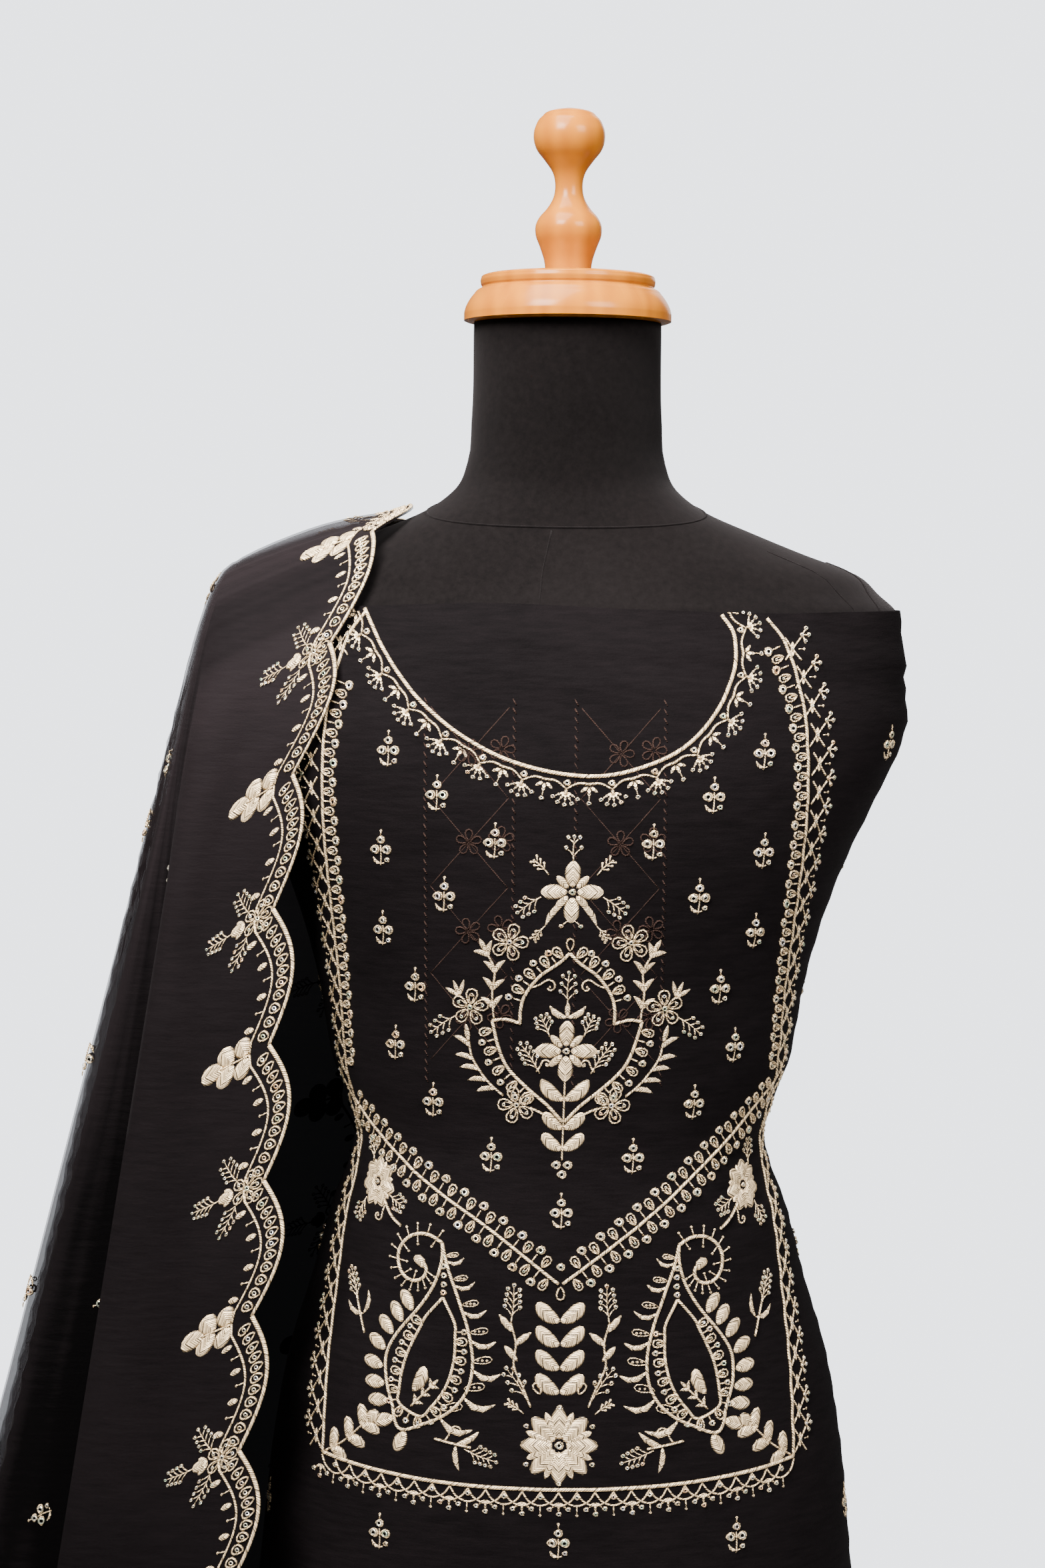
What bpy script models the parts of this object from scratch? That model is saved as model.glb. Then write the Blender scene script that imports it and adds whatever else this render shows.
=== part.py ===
"""Salwar kameez suit on a limbless dress form.

A black georgette kameez is pinned round a jersey-covered dress form, over a plain
salwar, with a scalloped dupatta laid across the form's right shoulder. Metres, +Z up.
The origin is under the middle of the stand's base and the suit faces -Y.
"""

import math

import bpy
import numpy as np
from mathutils.geometry import delaunay_2d_cdt

# ---------------------------------------------------------------- driving sizes
CLOTH = 0.0012          # thickness of every cloth wall
SEAM = 0.0003           # gap between two pieces that are sewn or seated together
RING_POWER = 2.3        # squareness of the torso's horizontal sections
ROUND_STEPS = 20        # faces round half of the torso
CAP_STEPS = 24          # faces round each turned piece
FINIAL_STEPS = 14
POLE_STEPS = 16
BASE_STEPS = 40
SHARP_ANGLE = math.radians(40.0)
NECK_ROUND = (1.400, 1.440)     # the sections turn from squarish to round between these

KAMEEZ_TOP = 1.357
KAMEEZ_HEM = 0.280
SLIT_TOP = 0.680        # the side seams are open below this
SLIT_SPREAD = math.radians(9.0)
FLUTES = 9              # soft waves round each half of the skirt
FLUTE_DEPTH = 0.0090    # how far they swing at the hem
FLUTE_TOP = 0.800       # where they begin
FLUTE_GROWTH = 1.3      # above 1, they grow faster near the hem
FLUTE_PHASE = 0.6       # where the first wave stands, in radians

# Levels of the torso and the kameez: lowest, highest and how many.
SKIRT_LEVELS = (KAMEEZ_HEM, 0.700, 8)
WAIST_LEVELS = (0.7625, 1.160, 10)
BUST_LEVELS = (1.188, KAMEEZ_TOP, 7)
TORSO_ROUND_LEVEL = 0.728       # one more, where the torso rounds under

BELT_TOP = 0.985
BELT_BOTTOM = 0.940
SEAT_BOTTOM = 0.655
LEG_BOTTOM = 0.160
CUFF_BOTTOM = 0.100
LEG_GATHERS = 10        # folds round a salwar leg
GATHER_DEPTH = 0.0035
GATHER_RISE = 0.050     # height over which the gathers grow out of the cuff seam

BASE_RADIUS = 0.190
BASE_HEIGHT = 0.026
POLE_RADIUS = 0.0125
COLLAR_RADIUS = 0.030
COLLAR_HEIGHT = 0.022

DUPATTA_WIDTH = 0.880
DUPATTA_FRONT = 1.015   # cloth length from the shoulder ridge to the front end
DUPATTA_BACK = 1.065    # and to the back end
SCALLOP = 0.080         # pitch of the scalloped edge
SCALLOP_DEPTH = 0.015
STRIP = 0.099           # cloth width that lies on the shoulder, inner edge to tip
STRIP_FLAT = 0.050      # the part of that strip beside the border that stays even
STRIP_CROWN = 0.006     # how far the strip arches over the shoulder
STRIP_ROLL = 0.006      # how far it stands out before it turns under
TIP = (-0.199, 0.0, 1.3835)     # where the cloth leaves the shoulder
HANG_DRIFT = 0.05       # how fast the hanging edges lean away from the body
FOLD_ROUND = 0.85       # how round each turn of the folds is, below 1
FOLD_START = 0.05       # drop below the tip where the folds begin
FOLD_FULL = 0.42        # and where they are full
HANG_SLOPE = 0.150      # outward slope of the unfolded drape at its front and back
HANG_SPREAD = 0.100     # and how much steeper it leans halfway between them
DRAPE_DEPTH = 0.070     # half depth of the drape just under the shoulder
DRAPE_SPREAD = 0.080    # and how fast it widens below
DRAPE_ROUND = 0.030     # drop over which it rounds out to that depth
TIP_BULGE = 0.0147      # how far the cloth stands out just under the tip
TIP_ROUND = 0.015       # drop over which it does so
TIP_BULGE_END = 0.15    # where on a half wave the bulge starts and ends
CROWN_FADE = 0.050      # distance over which the strip's arch dies away
ROLL_START = 0.200      # distance over which its roll grows
EDGE_LIFT = 0.012       # drop over which the inner edge leaves the ridge

# Fineness of the dupatta's mesh.
LONGEST_LINE = 1.36     # longest line of cloth from the shoulder
LENGTH_STEPS = 140
DROP_STEPS = 90
DROP_POWER = 1.6        # above 1, the samples crowd at the shoulder
LINES_PER_TURN = 12     # lines between two turns of the folds
TURN_SPACING_AT = 0.6   # the turns share the cloth out at this distance from the tip
SCALLOP_STEPS = 4       # edges round each scallop
OUTLINE_CLEAR = 0.006   # nearest that an arc's point comes to the end of a fold line
STRIP_LINES = (0.030, 0.062, 0.084)     # lines of points along the strip
STRIP_ROWS = 36
STRIP_END = 0.012       # what those lines leave at each end of the cloth
FOLD_LINE_END = 0.030   # and what the fold lines leave at the cloth's edge
HALF_LINE_START = 0.09  # the lines halfway between two turns begin here
QUARTER_LINE_START = 0.14
# Distances from the tip of the points on a fold line, wider apart further out.
LINE_REACHES = [0.025 + 0.025 * n + 0.005 * n * n for n in range(14)]
NORMAL_STEP = 0.0015    # flat distance over which the surface's slope is read
LEAST_LEAN = 0.25       # least slope between a point's normal and its faces

# Dress form: height, half width, depth to the front, depth to the back.
FORM_ROWS = np.array([
    (0.7000, 0.1250, 0.0790, 0.0850),
    (0.7100, 0.1500, 0.0950, 0.1020),
    (0.7600, 0.1680, 0.1060, 0.1160),
    (0.8200, 0.1680, 0.1085, 0.1170),
    (0.8800, 0.1625, 0.1065, 0.1150),
    (0.9400, 0.1460, 0.1000, 0.1020),
    (0.9850, 0.1345, 0.0945, 0.0890),
    (1.0360, 0.1235, 0.0900, 0.0770),
    (1.0830, 0.1375, 0.0945, 0.0800),
    (1.1320, 0.1470, 0.1050, 0.0860),
    (1.1700, 0.1575, 0.1160, 0.0920),
    (1.2060, 0.1710, 0.1240, 0.0965),
    (1.2430, 0.1885, 0.1245, 0.0990),
    (1.2800, 0.2050, 0.1180, 0.1000),
    (1.3180, 0.2052, 0.1075, 0.0975),
    (1.3450, 0.2045, 0.0975, 0.0900),
    (1.3570, 0.2025, 0.0920, 0.0850),
    (1.3660, 0.1925, 0.0850, 0.0780),
    (1.3780, 0.1790, 0.0765, 0.0710),
    (1.3910, 0.1445, 0.0680, 0.0650),
    (1.4030, 0.1145, 0.0610, 0.0610),
    (1.4150, 0.0865, 0.0565, 0.0580),
    (1.4280, 0.0685, 0.0530, 0.0560),
    (1.4450, 0.0605, 0.0520, 0.0550),
    (1.4700, 0.0582, 0.0525, 0.0540),
    (1.5297, 0.0572, 0.0530, 0.0530),
])

# Kameez, outer face: height, half width, depth to the front, depth to the back.
KAMEEZ_ROWS = np.array([
    (0.2800, 0.2320, 0.1500, 0.1480),
    (0.5200, 0.2060, 0.1390, 0.1400),
    (0.7625, 0.1840, 0.1240, 0.1320),
    (0.8500, 0.1750, 0.1190, 0.1285),
    (0.8990, 0.1660, 0.1165, 0.1230),
    (0.9480, 0.1512, 0.1140, 0.1120),
    (0.9850, 0.1415, 0.1120, 0.1000),
    (1.0360, 0.1256, 0.1085, 0.0840),
    (1.0830, 0.1410, 0.1120, 0.0870),
    (1.1320, 0.1500, 0.1180, 0.0920),
    (1.1700, 0.1605, 0.1240, 0.0965),
    (1.2060, 0.1740, 0.1275, 0.0995),
    (1.2430, 0.1915, 0.1270, 0.1015),
    (1.2800, 0.2075, 0.1205, 0.1022),
    (1.3180, 0.2073, 0.1100, 0.0998),
    (1.3570, 0.2050, 0.0945, 0.0875),
])

# Salwar belt and seat, outer face, with the same columns.
SEAT_ROWS = np.array([
    (0.6550, 0.1760, 0.1130, 0.1210),
    (0.7600, 0.1760, 0.1140, 0.1235),
    (0.8200, 0.1730, 0.1140, 0.1225),
    (0.8800, 0.1665, 0.1115, 0.1195),
    (0.9400, 0.1484, 0.1023, 0.1044),
    (0.9850, 0.1364, 0.0964, 0.0909),
])

# A salwar leg: height, centre x, half width, half depth, centre y. The left leg also
# takes in the pole, so its rows are wider than the right leg's.
LEG_ROWS = {
    "left": np.array([
        (0.1000, 0.0560, 0.0760, 0.0600, 0.004),
        (0.1600, 0.0570, 0.0780, 0.0630, 0.004),
        (0.3800, 0.0700, 0.0900, 0.0840, 0.004),
        (0.6547, 0.0775, 0.0975, 0.1000, 0.004),
    ]),
    "right": np.array([
        (0.1000, -0.0960, 0.0640, 0.0600, 0.004),
        (0.1600, -0.0970, 0.0660, 0.0630, 0.004),
        (0.3800, -0.1030, 0.0730, 0.0840, 0.004),
        (0.6547, -0.1025, 0.0735, 0.1000, 0.004),
    ]),
}

# Turned wood: height and radius up each profile.
CAP_TOP = 1.5592
FINIAL_ROWS = np.array([
    (CAP_TOP + SEAM, 0.0137), (1.5680, 0.0148), (1.5760, 0.0174), (1.5835, 0.0201),
    (1.5895, 0.0200), (1.5940, 0.0178), (1.5989, 0.0135), (1.6050, 0.0098),
    (1.6130, 0.0084), (1.6210, 0.0100), (1.6284, 0.0150), (1.6340, 0.0194),
    (1.6420, 0.0218), (1.6490, 0.0206), (1.6545, 0.0170), (1.6585, 0.0100),
    (1.6598, 0.0030),
])
CAP_ROWS = np.array([
    (1.5300, 0.0600), (1.5306, 0.0622), (1.5335, 0.0633), (1.5370, 0.0630),
    (1.5420, 0.0610), (1.5470, 0.0575), (1.5500, 0.0545), (1.5508, 0.0528),
    (1.5530, 0.0531), (1.5565, 0.0531), (1.5585, 0.0515), (CAP_TOP, 0.0490),
])
POLE_ROWS = np.array([
    (BASE_HEIGHT + SEAM, COLLAR_RADIUS), (BASE_HEIGHT + 0.006, COLLAR_RADIUS),
    (BASE_HEIGHT + 0.014, 0.019), (BASE_HEIGHT + COLLAR_HEIGHT, POLE_RADIUS),
    (FORM_ROWS[0, 0] - SEAM, POLE_RADIUS),
])
BASE_ROWS = np.array([
    (0.0, BASE_RADIUS - 0.004), (0.004, BASE_RADIUS), (0.014, BASE_RADIUS),
    (0.022, BASE_RADIUS - 0.006), (BASE_HEIGHT, BASE_RADIUS - 0.018),
])

# Cloth under the dupatta, with room for it: height, half width, front, back.
UNDER_ROWS = np.array([
    (1.2060, 0.1753, 0.1288, 0.1008),
    (1.2430, 0.1924, 0.1277, 0.1022),
    (1.2800, 0.2084, 0.1212, 0.1029),
    (1.3180, 0.2076, 0.1102, 0.1000),
    (1.3570, 0.2053, 0.0946, 0.0877),
    (1.3780, 0.1872, 0.0808, 0.0768),
    (1.3930, 0.1560, 0.0760, 0.0740),
    (1.4050, 0.1260, 0.0680, 0.0680),
    (1.4145, 0.1060, 0.0610, 0.0620),
])

# The dupatta's inner edge, down the front and down the back: height, x.
EDGE_FRONT = np.array([
    (0.280, -0.232), (0.600, -0.207), (0.829, -0.189), (0.901, -0.185),
    (0.971, -0.177), (1.046, -0.173), (1.124, -0.171), (1.191, -0.169),
    (1.272, -0.156), (1.338, -0.137), (1.389, -0.1225), (1.4145, -0.106),
])
EDGE_BACK = np.array([
    (0.280, -0.180), (0.700, -0.150), (0.900, -0.136), (1.040, -0.128),
    (1.150, -0.128), (1.270, -0.127), (1.340, -0.123), (1.390, -0.115),
    (1.4145, -0.106),
])
# The free folds from front to back: share of the drape's depth at each turn of the
# cloth, and the outward slope there.
FOLD_TURNS = np.array([
    (0.000, 0.150), (0.085, 0.020), (0.155, 0.228), (0.245, 0.050), (0.315, 0.240),
    (0.420, 0.075), (0.500, 0.252), (0.590, 0.055), (0.660, 0.228), (0.760, 0.040),
    (0.830, 0.235), (0.925, 0.010), (1.000, 0.080),
])
TURNS = len(FOLD_TURNS) - 1


# ---------------------------------------------------------------- reading tables
def sample(rows, heights):
    """Read every column of a table at the given heights along a smooth curve."""
    z = rows[:, 0]
    heights = np.clip(np.asarray(heights, dtype=float), z[0], z[-1])
    slope = np.gradient(rows, z, axis=0)
    i = np.clip(np.searchsorted(z, heights, side="right") - 1, 0, len(z) - 2)
    step = z[i + 1] - z[i]
    t = ((heights - z[i]) / step)[..., None]
    step = step[..., None]
    a, b, ma, mb = rows[i], rows[i + 1], slope[i] * step, slope[i + 1] * step
    return ((2 * t**3 - 3 * t**2 + 1) * a + (t**3 - 2 * t**2 + t) * ma
            + (3 * t**2 - 2 * t**3) * b + (t**3 - t**2) * mb)


def ease(x):
    """Smooth step from 0 to 1."""
    x = np.clip(x, 0.0, 1.0)
    return x * x * (3.0 - 2.0 * x)


# ---------------------------------------------------------------- mesh helpers
def make_object(name, points, faces, material):
    """A smooth-shaded mesh object with one material."""
    mesh = bpy.data.meshes.new(name)
    mesh.from_pydata([tuple(map(float, p)) for p in points], [], faces)
    mesh.materials.append(material)
    obj = bpy.data.objects.new(name, mesh)
    bpy.context.scene.collection.objects.link(obj)
    mesh.shade_smooth()
    mesh.set_sharp_from_angle(angle=SHARP_ANGLE)


def finish(name, color, roughness):
    """A plain surface finish."""
    material = bpy.data.materials.new(name)
    material.use_nodes = True
    shader = material.node_tree.nodes["Principled BSDF"]
    shader.inputs["Base Color"].default_value = (*color, 1.0)
    shader.inputs["Roughness"].default_value = roughness
    shader.inputs["Metallic"].default_value = 0.0
    return material


def ring_point(half_width, front, back, angle, power=RING_POWER):
    """A point of a horizontal section; the front is at negative y."""
    c, s = np.cos(angle), np.sin(angle)
    depth = np.where(s < 0, front, back)
    x = half_width * np.sign(c) * np.abs(c) ** (2.0 / power)
    y = depth * np.sign(s) * np.abs(s) ** (2.0 / power)
    return x, y


def inset(x, y, distance, closed):
    """Move a curve that runs anticlockwise inwards by a distance, row by row."""
    if closed:
        dx = np.roll(x, -1, axis=1) - np.roll(x, 1, axis=1)
        dy = np.roll(y, -1, axis=1) - np.roll(y, 1, axis=1)
    else:
        dx, dy = np.gradient(x, axis=1), np.gradient(y, axis=1)
    length = np.hypot(dx, dy)
    return x - distance * dy / length, y + distance * dx / length


def wall(name, x, y, z, closed, material):
    """A cloth wall on a grid whose rows go up and whose columns go anticlockwise."""
    xi, yi = inset(x, y, CLOTH, closed)
    rows, cols = x.shape
    outer = np.stack([x, y, z], axis=-1).reshape(-1, 3)
    inner = np.stack([xi, yi, z], axis=-1).reshape(-1, 3)
    shift = rows * cols
    spans = cols if closed else cols - 1
    faces = []
    for j in range(spans):
        k = (j + 1) % cols
        for i in range(rows - 1):
            a, b = i * cols + j, i * cols + k
            c, d = b + cols, a + cols
            faces.append((a, b, c, d))
            faces.append((a + shift, d + shift, c + shift, b + shift))
        top = (rows - 1) * cols
        faces.append((j, j + shift, k + shift, k))
        faces.append((top + j, top + k, top + k + shift, top + j + shift))
    if not closed:
        last = cols - 1
        for i in range(rows - 1):
            a, d = i * cols, (i + 1) * cols
            faces.append((a, d, d + shift, a + shift))
            faces.append((a + last, a + last + shift, d + last + shift, d + last))
    make_object(name, np.vstack([outer, inner]), faces, material)


def solid_of_rings(name, x, y, z, material):
    """A closed body through horizontal rings, with a flat lid at each end."""
    rows, cols = x.shape
    points = list(np.stack([x, y, z], axis=-1).reshape(-1, 3))
    faces = []
    for i in range(rows - 1):
        for j in range(cols):
            k = (j + 1) % cols
            faces.append((i * cols + j, i * cols + k, (i + 1) * cols + k,
                          (i + 1) * cols + j))
    faces.append(tuple(reversed(range(cols))))
    faces.append(tuple((rows - 1) * cols + j for j in range(cols)))
    make_object(name, points, faces, material)


def turned(name, rows, steps, material):
    """A body turned about the axis of the form from rows of height and radius."""
    angle = np.arange(steps) * 2 * math.pi / steps
    radius = rows[:, 1:2]
    solid_of_rings(name, radius * np.cos(angle), radius * np.sin(angle),
                   np.repeat(rows[:, :1], steps, axis=1), material)


# ---------------------------------------------------------------- dress form
def form_heights():
    """Levels shared by the form and the kameez, so that their faces run alike."""
    return np.concatenate([np.linspace(*WAIST_LEVELS), np.linspace(*BUST_LEVELS)])


def build_form(material):
    """The jersey-covered torso with its neck, closed below."""
    shoulder = FORM_ROWS[FORM_ROWS[:, 0] > KAMEEZ_TOP, 0]
    under = [*FORM_ROWS[:2, 0], TORSO_ROUND_LEVEL]
    levels = np.concatenate([under, form_heights(), shoulder])
    row = sample(FORM_ROWS, levels)
    angle = -math.pi + np.arange(ROUND_STEPS * 2) * math.pi / ROUND_STEPS
    start, end = NECK_ROUND
    power = RING_POWER + (2.0 - RING_POWER) * ease((levels - start) / (end - start))[:, None]
    x, y = ring_point(row[:, 1:2], row[:, 2:3], row[:, 3:4], angle[None, :], power)
    solid_of_rings("form_body", x, y, np.repeat(levels[:, None], len(angle), 1), material)


def build_stand(wood):
    """The turned cap and finial on the neck, and the pole and base below."""
    turned("neck_cap", CAP_ROWS, CAP_STEPS, wood)
    turned("finial", FINIAL_ROWS, FINIAL_STEPS, wood)
    turned("stand_pole", POLE_ROWS, POLE_STEPS, wood)
    turned("stand_base", BASE_ROWS, BASE_STEPS, wood)


# ---------------------------------------------------------------- kameez
def kameez_ring(levels, share):
    """The outer face of the kameez; share runs 0 to 2 round it from the left seam."""
    row = sample(KAMEEZ_ROWS, levels)
    angle = math.pi + share * math.pi
    x, y = ring_point(row[..., 1], row[..., 2], row[..., 3], angle)
    fall = np.clip((FLUTE_TOP - levels) / (FLUTE_TOP - KAMEEZ_HEM), 0.0, 1.0)
    wave = FLUTE_DEPTH * fall**FLUTE_GROWTH * np.sin(FLUTES * math.pi * share + FLUTE_PHASE)
    size = np.hypot(x, y)
    return x * (1 + wave / size), y * (1 + wave / size)


def build_kameez(cloth):
    """Front and back panels, sewn at the sides down to the slits."""
    levels = np.concatenate([np.linspace(*SKIRT_LEVELS), form_heights()])
    for name, first, side in (("kameez_front", 0.0, -1.0), ("kameez_back", 1.0, 1.0)):
        share = first + np.linspace(0.0, 1.0, ROUND_STEPS + 1)
        open_by = SLIT_SPREAD / math.pi * ease(
            (SLIT_TOP - levels) / (SLIT_TOP - KAMEEZ_HEM))[:, None]
        share = first + open_by + (share[None, :] - first) * (1 - 2 * open_by)
        z = np.repeat(levels[:, None], ROUND_STEPS + 1, axis=1)
        x, y = kameez_ring(z, share)
        wall(name, x, y + side * SEAM / 2, z, False, cloth)


# ---------------------------------------------------------------- salwar
def build_salwar(cloth):
    """Belt, seat, two gathered legs and their cuffs."""
    angle = np.arange(ROUND_STEPS * 2) * math.pi / ROUND_STEPS
    for name, low, high, count in (("salwar_belt", BELT_BOTTOM, BELT_TOP, 2),
                                   ("salwar_seat", SEAT_BOTTOM, BELT_BOTTOM - SEAM, 5)):
        levels = np.linspace(low, high, count)
        row = sample(SEAT_ROWS, levels)
        x, y = ring_point(row[:, 1:2], row[:, 2:3], row[:, 3:4], angle[None, :])
        wall(name, x, y, np.repeat(levels[:, None], len(angle), 1), True, cloth)
    steps = 4 * LEG_GATHERS
    angle = np.arange(steps) * 2 * math.pi / steps
    for side, rows in LEG_ROWS.items():
        for part, low, high, count in (
                ("cuff", CUFF_BOTTOM, LEG_BOTTOM - SEAM, 2),
                ("leg", LEG_BOTTOM, SEAT_BOTTOM - SEAM, 5)):
            levels = np.linspace(low, high, count)
            row = sample(rows, levels)
            fold = 0.0
            if part == "leg":
                reach = ease((levels - LEG_BOTTOM) / GATHER_RISE)[:, None]
                fold = GATHER_DEPTH * reach * np.cos(LEG_GATHERS * angle)[None, :]
            x, y = ring_point(row[:, 2:3] + fold, row[:, 3:4] + fold,
                              row[:, 3:4] + fold, angle[None, :])
            wall(f"salwar_{part}_{side}", x + row[:, 1:2], y + row[:, 4:5],
                 np.repeat(levels[:, None], steps, 1), True, cloth)


# ---------------------------------------------------------------- dupatta
def drape_half_depth(drop):
    """Half the drape's depth, front to back, at a drop below the shoulder tip."""
    return DRAPE_DEPTH * np.sqrt(1 - np.exp(-drop / DRAPE_ROUND)) + DRAPE_SPREAD * drop


def free_line(turn, drop):
    """A line of the free drape: turn 0 is its front, the last turn its back."""
    share = turn / TURNS
    i = min(int(turn), TURNS - 1)
    mix = 0.5 - 0.5 * math.cos(math.pi * (turn - i))
    folded = FOLD_TURNS[i, 1] * (1 - mix) + FOLD_TURNS[i + 1, 1] * mix
    step = turn - i + FOLD_ROUND / (2 * math.pi) * math.sin(2 * math.pi * (turn - i))
    swing = 1 - 2 * (FOLD_TURNS[i, 0] * (1 - step) + FOLD_TURNS[i + 1, 0] * step)
    plain = HANG_SLOPE + HANG_SPREAD * math.sin(math.pi * share)
    full = ease((drop - FOLD_START) / (FOLD_FULL - FOLD_START))
    slope = plain + (folded - plain) * full
    bulge = TIP_BULGE * np.sqrt(1 - np.exp(-drop / TIP_ROUND)) * math.sin(
        math.pi * (TIP_BULGE_END + (1 - 2 * TIP_BULGE_END) * share))
    x = TIP[0] - bulge - drop * slope
    smooth = math.cos(math.pi * share)
    y = -drape_half_depth(drop) * (smooth + (swing - smooth) * full)
    return np.stack([x, y, TIP[2] - drop], axis=-1)


def edge_line(rows, side, drop):
    """The inner edge: it lies on the chest or back and then hangs straight."""
    z = rows[-1, 0] - drop
    x = sample(rows, z)[:, 1]
    row = sample(UNDER_ROWS, z)
    reach = np.clip(np.abs(x + SCALLOP_DEPTH) / row[:, 1], 0.0, 1.0)
    depth = row[:, 2] if side < 0 else row[:, 3]
    depth = depth * (1 - reach**RING_POWER) ** (1 / RING_POWER)
    depth = depth * ease(drop / EDGE_LIFT) ** 0.5
    hang = np.maximum.accumulate(depth)
    hang = hang + HANG_DRIFT * np.clip(UNDER_ROWS[0, 0] - z, 0.0, None)
    return np.stack([x, side * hang, z], axis=-1)


def by_length(line, lengths):
    """Points at given distances along a line of points."""
    run = np.concatenate([[0.0], np.cumsum(np.linalg.norm(np.diff(line, axis=0),
                                                          axis=1))])
    return np.stack([np.interp(lengths, run, line[:, c]) for c in range(3)], axis=-1)


class Drape:
    """The dupatta's surface as a function of its flat cloth.

    along is measured from the shoulder ridge, positive to the front; across from the
    inner edge. The strip beside that edge is ruled between the edge and the folds'
    first line. The rest hangs in folds that radiate from the shoulder's tip.
    """

    def __init__(self):
        self.lengths = np.linspace(0.0, LONGEST_LINE, LENGTH_STEPS)
        drop = LONGEST_LINE * np.linspace(0.0, 1.0, DROP_STEPS) ** DROP_POWER
        self.turn = np.linspace(0.0, TURNS, TURNS * LINES_PER_TURN + 1)
        self.free = np.stack([by_length(free_line(t, drop), self.lengths)
                              for t in self.turn])
        self.edge = {
            1: by_length(edge_line(EDGE_FRONT, -1.0, drop), self.lengths),
            -1: by_length(edge_line(EDGE_BACK, 1.0, drop), self.lengths),
        }
        level = np.searchsorted(self.lengths, TURN_SPACING_AT)
        run = np.linalg.norm(np.diff(self.free[:, level], axis=0), axis=1)
        run = np.concatenate([[0.0], np.cumsum(run)])
        self.bearing = math.pi / 2 - math.pi * run / run[-1]

    def free_point(self, distance, bearing):
        """A point of the folds by its distance and bearing from the tip."""
        line = np.interp(-bearing, -self.bearing, np.arange(len(self.turn)))
        i = min(int(line), len(self.turn) - 2)
        near = [np.interp(distance, self.lengths, self.free[i, :, c]) for c in range(3)]
        far = [np.interp(distance, self.lengths, self.free[i + 1, :, c])
               for c in range(3)]
        mix = line - i
        return np.array(near) * (1 - mix) + np.array(far) * mix

    def point(self, along, across):
        """Where a point of the flat cloth lies."""
        beyond = across - STRIP
        if beyond >= 0:
            return self.free_point(math.hypot(along, beyond), math.atan2(along, beyond))
        side = 1 if along >= 0 else -1
        distance = abs(along)
        edge = np.array([np.interp(distance, self.lengths, self.edge[side][:, c])
                         for c in range(3)])
        first = self.free_point(distance, side * math.pi / 2)
        gap = first - edge
        width = float(np.linalg.norm(gap))
        crown = STRIP_CROWN * math.sin(math.pi * np.clip(across / STRIP, 0.0, 1.0))
        edge = edge + np.array([0.0, 0.0, crown * math.exp(-distance / CROWN_FADE)])
        if across <= STRIP_FLAT:
            return edge + gap * (across / width)
        t = (across - STRIP_FLAT) / (STRIP - STRIP_FLAT)
        start = (STRIP - STRIP_FLAT) / width
        reach = (STRIP_FLAT / width * (2 * t**3 - 3 * t**2 + 1)
                 + start * (t**3 - 2 * t**2 + t) + (3 * t**2 - 2 * t**3))
        back = STRIP_ROLL * ease(distance / ROLL_START) * t * (1 - t) * 4
        return edge + gap * reach + np.array([0.0, -side * back, 0.0])


def fold_lines(drape):
    """Flat lines from the tip out to the cloth's edge, four for each turn."""
    starts = (0.0, QUARTER_LINE_START, HALF_LINE_START, QUARTER_LINE_START)
    lines = []
    for quarter in range(4 * TURNS + 1):
        nearest = starts[quarter % 4]
        bearing = drape.bearing[quarter * LINES_PER_TURN // 4]
        ahead, aside = math.sin(bearing), max(math.cos(bearing), 1e-9)
        room = DUPATTA_FRONT if ahead > 0 else DUPATTA_BACK
        edge = min((DUPATTA_WIDTH - STRIP) / aside, room / max(abs(ahead), 1e-9))
        line = [d for d in LINE_REACHES if nearest < d < edge - FOLD_LINE_END] + [edge]
        lines.append([(d * ahead, STRIP + d * aside) for d in line])
    return lines


def scalloped_outline(ends):
    """The flat outline, anticlockwise in (along, across), with a point at each end.

    Gives the points, and for each end the number of its point.
    """
    corners = [(-DUPATTA_BACK, 0.0), (DUPATTA_FRONT, 0.0),
               (DUPATTA_FRONT, DUPATTA_WIDTH), (-DUPATTA_BACK, DUPATTA_WIDTH)]
    outline, found = [], {}
    for (ax, ay), (bx, by) in zip(corners, corners[1:] + corners[:1]):
        length = math.hypot(bx - ax, by - ay)
        ux, uy = (bx - ax) / length, (by - ay) / length
        runs = {}
        for number, (ex, ey) in enumerate(ends):
            run = (ex - ax) * ux + (ey - ay) * uy
            off = (ex - ax) * uy - (ey - ay) * ux
            if abs(off) < 1e-6 and number not in found:
                runs[run] = number
        for i in range(round(length / SCALLOP) * SCALLOP_STEPS):
            run = i * SCALLOP / SCALLOP_STEPS
            clear = all(abs(run - other) > OUTLINE_CLEAR for other in runs)
            if clear or i % SCALLOP_STEPS == 0:
                runs.setdefault(run, None)
        for run, number in sorted(runs.items()):
            bulge = SCALLOP_DEPTH * abs(math.sin(math.pi * run / SCALLOP))
            if number is not None:
                found[number] = len(outline)
            outline.append((ax + ux * run + uy * bulge, ay + uy * run - ux * bulge))
    return outline, found


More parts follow.
